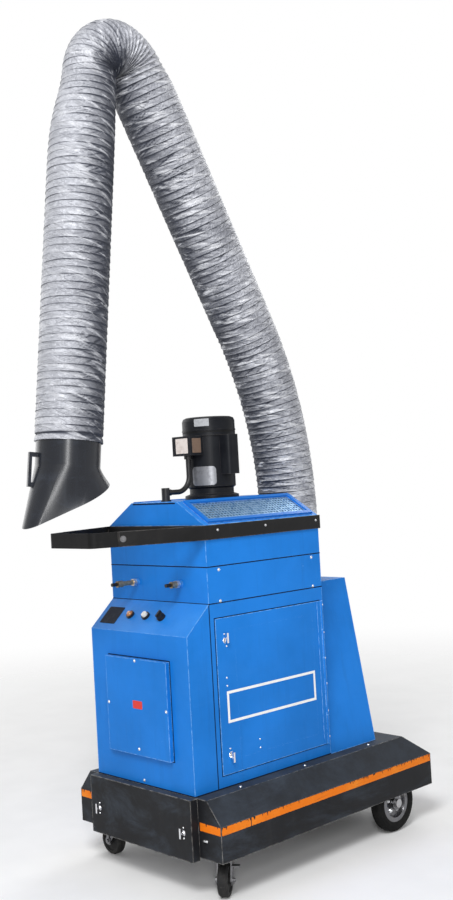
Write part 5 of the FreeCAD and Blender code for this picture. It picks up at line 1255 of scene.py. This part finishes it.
@dataclass
class Motor(Assembly):
    """Blower motor with blank plates and labels."""

    radius: float = 0.086
    name_size: Tuple[float, ...] = (0.090, 0.066, 0.014, 0.0008)
    name_place: Tuple[float, float] = (-60.0, 1.312)
    label_size: Tuple[float, ...] = (0.054, 0.026, 0.002, 0.0006)
    label_place: Tuple[float, float] = (-58.0, 1.497)
    bead: Tuple[float, float, float] = (0.0150, 0.0080, 0.0016)
    # depth and lift of the dark ring of painted shadow under the bead
    shadow_ring: Tuple[float, float] = (0.0050, 0.0003)
    front_size: Tuple[float, ...] = (0.062, 0.052, 0.002, 0.0006)
    front_x: float = 0.004
    flank_size: Tuple[float, ...] = (0.040, 0.050, 0.002, 0.0006)
    flank_behind: float = 0.030

    def build(self) -> None:
        """A bare nameplate, the fan cover's label and bead, a dark ring of painted shadow under the bead, and
        labels on the terminal box.
        """
        x, y, _ = middle("motor_frame")
        turn, z = self.name_place
        name = wrapped(plate(*self.name_size, steps=8), self.radius, math.radians(turn), (x, y, z))
        make_piece("blank_nameplate", name, Paint.PLATE, "cart")
        low, high = span("motor_fan_cover")
        wall = (high[0] - low[0]) / 2
        turn, z = self.label_place
        label = wrapped(plate(*self.label_size, steps=6), wall, math.radians(turn), (x, y, z))
        make_piece("fan_cover_label", label, Paint.PALE, "cart")
        up, wide, proud = self.bead
        deep, thin = self.shadow_ring
        foot = (x, y, low[2] + up)
        bead = hoop(wall, 0.0, wide, proud).placed(np.eye(3), foot)
        make_piece("fan_cover_bead", bead, Paint.MOTOR, "cart")
        # painted shadow: a dark ring under the bead
        shadow_ring = hoop(wall, -deep, 0.0, thin).placed(np.eye(3), foot)
        make_piece("fan_cover_shadow_ring", shadow_ring, Paint.GRIP, "cart")
        low, high = span("motor_terminal_box")
        z = (low[2] + high[2]) / 2
        front = plate(*self.front_size).placed(facing(FRONT), (self.front_x, low[1], z))
        make_piece("terminal_label_front", front, Paint.STICKER, "cart")
        flank = plate(*self.flank_size).placed(facing(RIGHT), (high[0], low[1] + self.flank_behind, z))
        make_piece("terminal_label_side", flank, Paint.BROWN, "cart")

    def dress(self) -> None:
        """Black enamel, a bare shaft and a dark conduit."""
        dress(Paint.MOTOR, "motor_frame", "motor_fan_cover", "motor_terminal_box", "motor_capacitor_cover")
        dress(Paint.CONDUIT, "motor_conduit")
        dress(Paint.STEEL, "motor_shaft")


@dataclass
class Handle(Assembly):
    """Push rails along the blower housing, joined by a grip at the front."""

    rail_bolt: Tuple[float, float] = (0.0048, 0.0030)
    bolt_rows: Tuple[float, ...] = (-0.182, 0.038, 0.290)
    bolt_z: float = 1.1355
    grip_bolt: Tuple[float, float] = (0.0068, 0.0060)
    tip: Point = (0.1547, -0.490, 1.1300)
    tip_out: Tuple[float, float] = (0.928, -0.372)

    def build(self) -> None:
        """Bolts through each rail, and a large one where each rail laps the grip."""
        face = span("push_rails")[1][0]
        for side in Side:
            heads = [(side.value * face, y, self.bolt_z) for y in self.bolt_rows]
            make_piece(f"rail_bolts_{side.word}", spread(rivet(*self.rail_bolt), heads, side.out),
                       Paint.STEEL, "cart")
            end = (side.value * self.tip[0], *self.tip[1:])
            out = (side.value * self.tip_out[0], self.tip_out[1], 0.0)
            make_piece(f"grip_bolt_{side.word}", spread(bolt(*self.grip_bolt), [end], out),
                       Paint.FORK, "cart")

    def dress(self) -> None:
        """Black rails and a rubbed black grip."""
        dress(Paint.RAIL, "push_rails")
        dress(Paint.GRIP, "handle_grip")


@dataclass
class Arm(Assembly):
    """Fabric hose over the swivelling arm, in three lengths."""

    radius: float = 0.1086
    inner: float = 0.0935
    pitch: float = 0.0237
    crowd: float = 0.75
    drop: float = 0.0020
    deep: float = 0.42
    wrinkle: float = 0.0034
    # how far soot and painted shade darken the inner side
    soot: float = 0.88
    clamp: Tuple[float, float, float] = (0.020, 0.0045, 0.0035)
    around: int = 128
    rows: int = 10
    foot: Point = (0.0, 0.4213, 0.9115)
    riser: float = 0.2276
    bend: float = 1.500
    lean: float = 28.5
    lower: float = 0.95905
    fold: float = 0.1115
    turn: float = 145.0
    upper: float = 1.2253
    crowding: float = 0.022
    askew: float = 0.0015
    pinch: Tuple[Tuple[float, ...], ...] = ((0.04, 0.013, 0.09, 0.06), (-0.010, 0.040, 0.145, 0.155))
    give: Tuple[Tuple[float, float], ...] = ((0.13, 0.06), (-0.06, 0.06), (-0.17, -0.01))

    def build(self) -> None:
        """The three lengths of hose, made at rest and fixed in place, with the hose solids that they cover
        hidden.
        """
        marks = np.cumsum([0.0, *self.runs()])
        joints = np.array([marks[1:3], marks[3:5], marks[[5, 5]]]) + np.array(self.give)
        cuts = (0.0, marks[2] + self.lower * 0.5, marks[4] + self.upper * 0.5, marks[5])
        lengths = (
            ("hose_length_lower", ("turret", "lower_link"), ("hose_base", "hose_shoulder")),
            ("hose_length_elbow", ("lower_link", "upper_link"), ("hose_lower", "hose_elbow")),
            ("hose_length_upper", ("upper_link", "hood_swing"), ("hose_upper", "hose_wrist")),
        )
        for seed, ((name, bodies, solids), joint) in enumerate(zip(lengths, joints)):
            piece = make_piece(name, self.hose(*cuts[seed:seed + 2], seed), Paint.CLOTH, None, crease=180)
            tuple(self.centre(np.array(joint[:1]))[0][0])
            tuple(self.centre(np.array(joint[1:]))[0][0])
            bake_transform(piece)
            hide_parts(*solids)

    def runs(self) -> Tuple[float, ...]:
        """Lengths of the riser, the shoulder's bend, the lower leg, the elbow's fold and the upper leg."""
        return (self.riser, self.bend * math.radians(self.lean), self.lower,
                self.fold * math.radians(self.turn), self.upper)

    def wires(self, start: float, end: float) -> Array:
        """Runs of the wire rings: evenly spaced on the legs and crowded over the elbow's fold.

        The number of rings up to a run is the sum of their density, which rises smoothly round the fold.
        """
        run = np.linspace(start, end, 2000)
        marks = np.cumsum(self.runs())[2:4]
        rise, fall = (1.0 / (1.0 + np.exp(-(run - mark) / self.crowding)) for mark in marks)
        fold = rise - fall
        number = np.append(0.0, np.cumsum(np.diff(run) * (1.0 + self.crowd * fold[1:]) / self.pitch))
        return np.interp(np.linspace(0.0, number[-1], int(round(number[-1])) + 1), number, run)

    def centre(self, run: Array) -> Tuple[Array, Array]:
        """Centre line of the hose and its heading, by the run from the foot.

        The heading angle is 0 on the riser, grows evenly over the shoulder's bend, stays at the lean,
        grows evenly over the elbow's fold and then stays; the line is the sum of those straights and arcs.

        Args:
            run: Distances along the hose, in an array of any shape.

        Returns:
            Points, and heading angles from straight up towards the front, in radians.
        """
        turns = (0.0, math.radians(self.lean), 0.0, math.radians(self.turn), 0.0)
        points = np.broadcast_to(np.asarray(self.foot, float), (*run.shape, 3)).copy()
        angle = np.zeros(run.shape)
        begin = heading = 0.0
        for length, turn in zip(self.runs(), turns):
            part = np.clip(run - begin, 0.0, length)
            if turn:
                radius = length / turn
                swung = heading + part / radius
                points[..., 1] += radius * (np.cos(swung) - math.cos(heading))
                points[..., 2] += radius * (np.sin(swung) - math.sin(heading))
                angle += part / radius
            else:
                points[..., 1] -= part * math.sin(heading)
                points[..., 2] += part * math.cos(heading)
            begin += length
            heading += turn
        return points, angle

    def hose(self, start: float, end: float, seed: int) -> Surface:
        """One length of hose: rings round the centre line, with a plain inner wall.

        Below each wire the cloth falls in at once, 1 - exp(-14 d) of the drop, and then comes back out
        evenly, (1 - d), over the share d of the way down to the next wire. Where the wires crowd, the slack
        cloth hangs inwards between them, as 4 f (1 - f) of the way f from wire to wire. Creases slant across
        the bands, most on the inner side, and each wire lies a little askew. The tone paints shade: a dark
        line just below each wire, dark crease valleys, slack cloth darkened where it hangs in, and the
        clamp's groove. Soot and painted shade darken the inner side by the square of its share, turned to the
        left on the lower leg and to the right on the upper one, and a clamp draws the cloth in by a bell
        curve near each free end.

        Args:
            start: Run at which the length begins.
            end: Run at which it ends.
            seed: Seed of the wrinkles.

        Returns:
            A closed tube.
        """
        rng = np.random.default_rng(40 + seed)
        wires = self.wires(start, end)
        total = len(wires) - 1
        band, row = np.divmod(np.arange(total * self.rows + 1), self.rows)
        after = np.minimum(band + 1, total)
        share = (0.5 - 0.5 * np.cos(np.pi * row / self.rows))[:, None]
        run = wires[band][:, None] * (1.0 - share) + wires[after][:, None] * share
        angle = np.arange(self.around)[None] * 2 * np.pi / self.around
        within = 0.5 - 0.5 * np.sin(angle)
        rising = np.clip(0.5 + 2.0 * np.cos(self.centre(run)[1]), 0.0, 1.0)
        # line: a painted shade line just below each wire
        dip, line = np.zeros_like(share), np.zeros_like(share)
        for down, weight in ((share, 1.0 - rising), (1.0 - share, rising)):
            dip = dip + weight * (1.0 - np.exp(-14.0 * down)) * (1.0 - down) * 1.3
            line = line + weight * np.exp(-(down / (0.10 + 0.10 * within)) ** 2)
        slack = self.slack(run, wires, band, angle) * (0.25 + 0.75 * within ** 0.5)
        hang = 4.0 * share * (1.0 - share)
        creases = self.creases(angle, band, share, rng) * (0.45 + 0.55 * within)
        uneven = np.clip(0.80 + 0.40 * self.waves(angle, total + 1, rng)[band], 0.3, 1.2)
        taut = 1.0 - slack
        away, wide, tight = self.clamp
        skew = np.tanh((run - np.cumsum(self.runs())[2:4].mean()) / 0.15)
        # soot and painted shade on the inner side, turned left on the lower leg and right on the upper one
        soot_and_inner_shade = np.clip(0.5 - 0.375 * np.sin(angle) + 0.33 * skew * np.cos(angle), 0.0, 1.0) ** 2
        held = np.exp(-((np.minimum(run, sum(self.runs()) - run) - away) / wide) ** 2)
        radius = (self.radius - self.drop * dip * uneven * taut - self.wrinkle * creases * taut
                  - self.deep * self.pitch * slack * hang - tight * held)
        askew = self.askew * self.waves(angle, total + 1, rng)
        askew[[0, -1]] = 0.0
        shift = (askew[band] * (1.0 - share) + askew[after] * share) * taut
        outside = self.rings(run + shift, angle, radius)
        back = wires[::-1, None]
        inside = self.rings(back + 0.0 * angle, angle, np.full((total + 1, self.around), self.inner))
        # the tone is painted shade: a line below each wire, crease valleys, hanging slack and the clamp's
        # groove, with soot and shade on the inner side
        tone = (line * uneven * (0.76 + 0.24 * within) + 0.85 * creases + 0.6 * slack * hang ** 2.2 + held
                + self.soot * soot_and_inner_shade * (1.0 - 0.5 * slack))
        # the inner wall takes the full tone: painted shade inside the hose
        tone = np.concatenate([np.clip(tone, 0.0, 1.0), np.ones((total + 1, self.around))])
        runs = np.concatenate([run[:, 0], back[:, 0], run[:1, 0]])
        arcs = np.append(angle, 2 * np.pi) * self.radius
        places = np.stack(np.meshgrid(runs, arcs, indexing="ij"), axis=-1)
        return netted(np.concatenate([outside, inside]), along=True, places=places[..., ::-1], tone=tone)

    def waves(self, angle: Array, count: int, rng: np.random.Generator) -> Array:
        """Slow uneven waves round the hose, about -1 to 1, one row for each wire: three cosines each."""
        phase = rng.uniform(0.0, 2 * np.pi, (3, count, 1))
        size = rng.uniform(0.2, 0.8, (3, count, 1))
        return sum(size[k] * np.cos((k + 1) * angle + phase[k]) for k in range(3)) / 1.5

    def creases(self, angle: Array, band: Array, share: Array, rng: np.random.Generator) -> Array:
        """Depth of the cloth's creases, 0 to 1: sharp slanting waves, kept to a part of each band."""
        total = int(band.max()) + 1
        depth = np.zeros((len(band), angle.shape[1]))
        hang = 4 * share * (1 - share)
        for number in (4, 7, 11):
            phase = rng.uniform(0, 2 * np.pi, (total, 1))[band]
            slant = number * (rng.uniform(0.35, 1.05, (total, 1)) * rng.choice([-1.0, 1.0], (total, 1)))[band]
            kept = np.clip(1.4 * self.waves(angle, total, rng)[band] - 0.1, 0.0, 1.0)
            wave = np.abs(np.sin(number * angle + phase + slant * (share - 0.5)))
            depth += kept * (1 - wave) ** 3
        return np.clip(depth * hang ** 0.5, 0.0, 1.0)

    def slack(self, run: Array, wires: Array, band: Array, angle: Array) -> Array:
        """Slack of the cloth between its wires: 0 where it is taut, 1 where the wires touch.

        A band's length is the pitch, and its wires' spacing grows to the outside of a bend in step with the
        distance from the bend's centre; the slack is the third side of the triangle of those two.
        """
        spacing = np.append(np.diff(wires), wires[-1] - wires[-2])[band][:, None]
        curve = np.gradient(self.centre(wires)[1], wires)[band][:, None]
        taut = np.clip(spacing * (1.0 + curve * self.radius * np.sin(angle)) / self.pitch, 0.0, 1.0)
        return np.sqrt(np.clip(1.0 - taut ** 2 - 0.03, 0.0, 1.0))

    def rings(self, run: Array, angle: Array, radius: Array) -> Array:
        """Rings of points: the centre plus the radius along X and along the outer side of the bend.

        Near each end of the elbow's fold the cloth draws in, by a bell curve of the run that is wider on one
        side than on the other, most on the outer side and not at all on the inner one.
        """
        centre, heading = self.centre(run)
        outer = np.stack([np.zeros_like(heading), np.cos(heading), np.sin(heading)], axis=-1)
        side = np.array([1.0, 0.0, 0.0])
        marks = np.cumsum(self.runs())[2:4]
        for mark, (offset, depth, before, after) in zip(marks, self.pinch):
            away = run - mark - offset
            bell = np.exp(-(away / np.where(away < 0, before, after)) ** 2)
            radius = radius - depth * bell * (0.5 + 0.5 * np.sin(angle))
        return (centre + (radius * np.cos(angle))[..., None] * side
                + (radius * np.sin(angle))[..., None] * outer)

    def dress(self) -> None:
        """Bare steel links, a black hood."""
        dress(Paint.STEEL, "arm_collar", "arm_turret", "lower_arm", "upper_arm", "hood_spool")
        dress(Paint.HOOD, "hood_shell")


def stand(thing: bpy.types.Object, turn: Array, place: Point) -> None:
    """Turn and place an object, and link it into the scene."""
    matrix = np.eye(4)
    matrix[:3, :3], matrix[:3, 3] = turn, place
    thing.matrix_world = Matrix(matrix.tolist())
    bpy.context.scene.collection.objects.link(thing)


@dataclass(frozen=True)
class Lamp:
    """A soft lamp, as wide and high as given, that faces the middle of the part."""

    name: str
    place: Point
    size: Tuple[float, float]
    power: float
    aim: Point = (0.0, 0.0, 1.3)

    def build(self) -> None:
        """Put the lamp into the scene."""
        data = bpy.data.lights.new(self.name, "AREA")
        data.shape, data.energy = "RECTANGLE", self.power
        data.size, data.size_y = self.size
        away = np.array(self.place) - np.array(self.aim)
        stand(bpy.data.objects.new(self.name, data), facing(away), self.place)


@dataclass
class Studio:
    """Pale floor, soft light and the camera."""

    eye: Point = (2.8327, -2.57225, 1.3006)
    right: Point = (0.6887, 0.7250, 0.0)
    ahead: Point = (-0.7248, 0.6885, 0.0257)
    roll: float = -3.16
    lens: float = 43.57
    sensor: float = 36.0
    floor_radius: float = 9.0
    floor_fade: Tuple[float, float] = (1.2, 5.58)
    floor_tones: Tuple[Colour, Colour] = ((0.88, 0.88, 0.88), (0.92, 0.92, 0.92))
    glow: float = 0.36
    lamps: Tuple[Lamp, ...] = (
        Lamp("key", (2.4, -3.2, 4.7), (1.8, 1.8), 205.0),
        Lamp("strip", (3.9, -3.4, 2.1), (0.35, 2.2), 100.0),
        Lamp("fill", (-4.4, -0.6, 2.6), (3.0, 3.0), 38.0),
        Lamp("back", (-1.2, 4.0, 3.8), (2.5, 2.5), 60.0),
    )

    def build(self) -> None:
        """Camera, floor, lamps and world."""
        self.camera()
        self.floor()
        for lamp in self.lamps:
            lamp.build()
        self.world()
        bpy.context.scene.view_settings.view_transform = "Standard"

    def camera(self) -> None:
        """The photograph's view: its eye point, heading, roll and lens."""
        right, ahead = np.array(self.right), np.array(self.ahead)
        up = np.cross(right, ahead)
        turn = math.radians(self.roll)
        across = math.cos(turn) * right + math.sin(turn) * up
        upright = math.cos(turn) * up - math.sin(turn) * right
        data = bpy.data.cameras.new("view")
        data.lens, data.sensor_width, data.sensor_fit = self.lens, self.sensor, "AUTO"
        view = bpy.data.objects.new("view", data)
        stand(view, np.stack([across, upright, -ahead], axis=1), self.eye)
        bpy.context.scene.camera = view

    def floor(self) -> None:
        """A wide pale disc that fades out into the background at its rim."""
        disc = turned([(0.0, 0.0), (self.floor_radius * 0.3, 0.0), (self.floor_radius, 0.0)], 64)
        recipe = Recipe(bpy.data.materials.new("pale_floor"))
        where = recipe.node("ShaderNodeTexCoord", output="Object")
        far = recipe.node("ShaderNodeVectorMath", {"operation": "LENGTH"}, {0: where}, output="Value")
        grain = recipe.mix(recipe.noise(3.0, 5.0).step(0.3, 0.7), *self.floor_tones)
        matt = recipe.node("ShaderNodeBsdfDiffuse", {}, {"Color": grain})
        clear = recipe.node("ShaderNodeBsdfTransparent")
        fade = far.step(*self.floor_fade) * recipe.seen()
        cover = recipe.node("ShaderNodeMixShader", {}, {0: fade, 1: matt, 2: clear})
        mesh = bpy.data.meshes.new("floor")
        mesh.from_pydata(disc.points.tolist(), [], disc.faces.tolist())
        mesh.validate()
        mesh.materials.append(recipe.finish(cover))
        floor = bpy.data.objects.new("floor", mesh)
        bpy.context.scene.collection.objects.link(floor)

    def world(self) -> None:
        """White where it is seen or mirrored, and a plain soft light elsewhere."""
        recipe = Recipe(bpy.data.worlds.new("studio"))
        strength = recipe.node("ShaderNodeMapRange", {}, {"Value": recipe.seen(), "To Min": self.glow})
        back = recipe.node("ShaderNodeBackground", {}, {"Color": (1.0, 1.0, 1.0, 1.0), "Strength": strength})
        bpy.context.scene.world = recipe.finish(back, "World")


def main() -> List[Assembly]:
    """Build and dress every group in order.

    Returns:
        The groups.
    """
    logging.basicConfig(level=logging.INFO, format="%(message)s")
    Studio().build()
    groups: List[Assembly] = [Chassis(), Wheels(), Drawer(), Cabinet(), Door(), Console(), Motor(), Handle(),
                              Arm()]
    for group in groups:
        group.build()
        group.dress()
        LOG.info("%s is done", type(group).__name__)
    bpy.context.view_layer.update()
    return groups


if __name__ == "__main__":
    main()
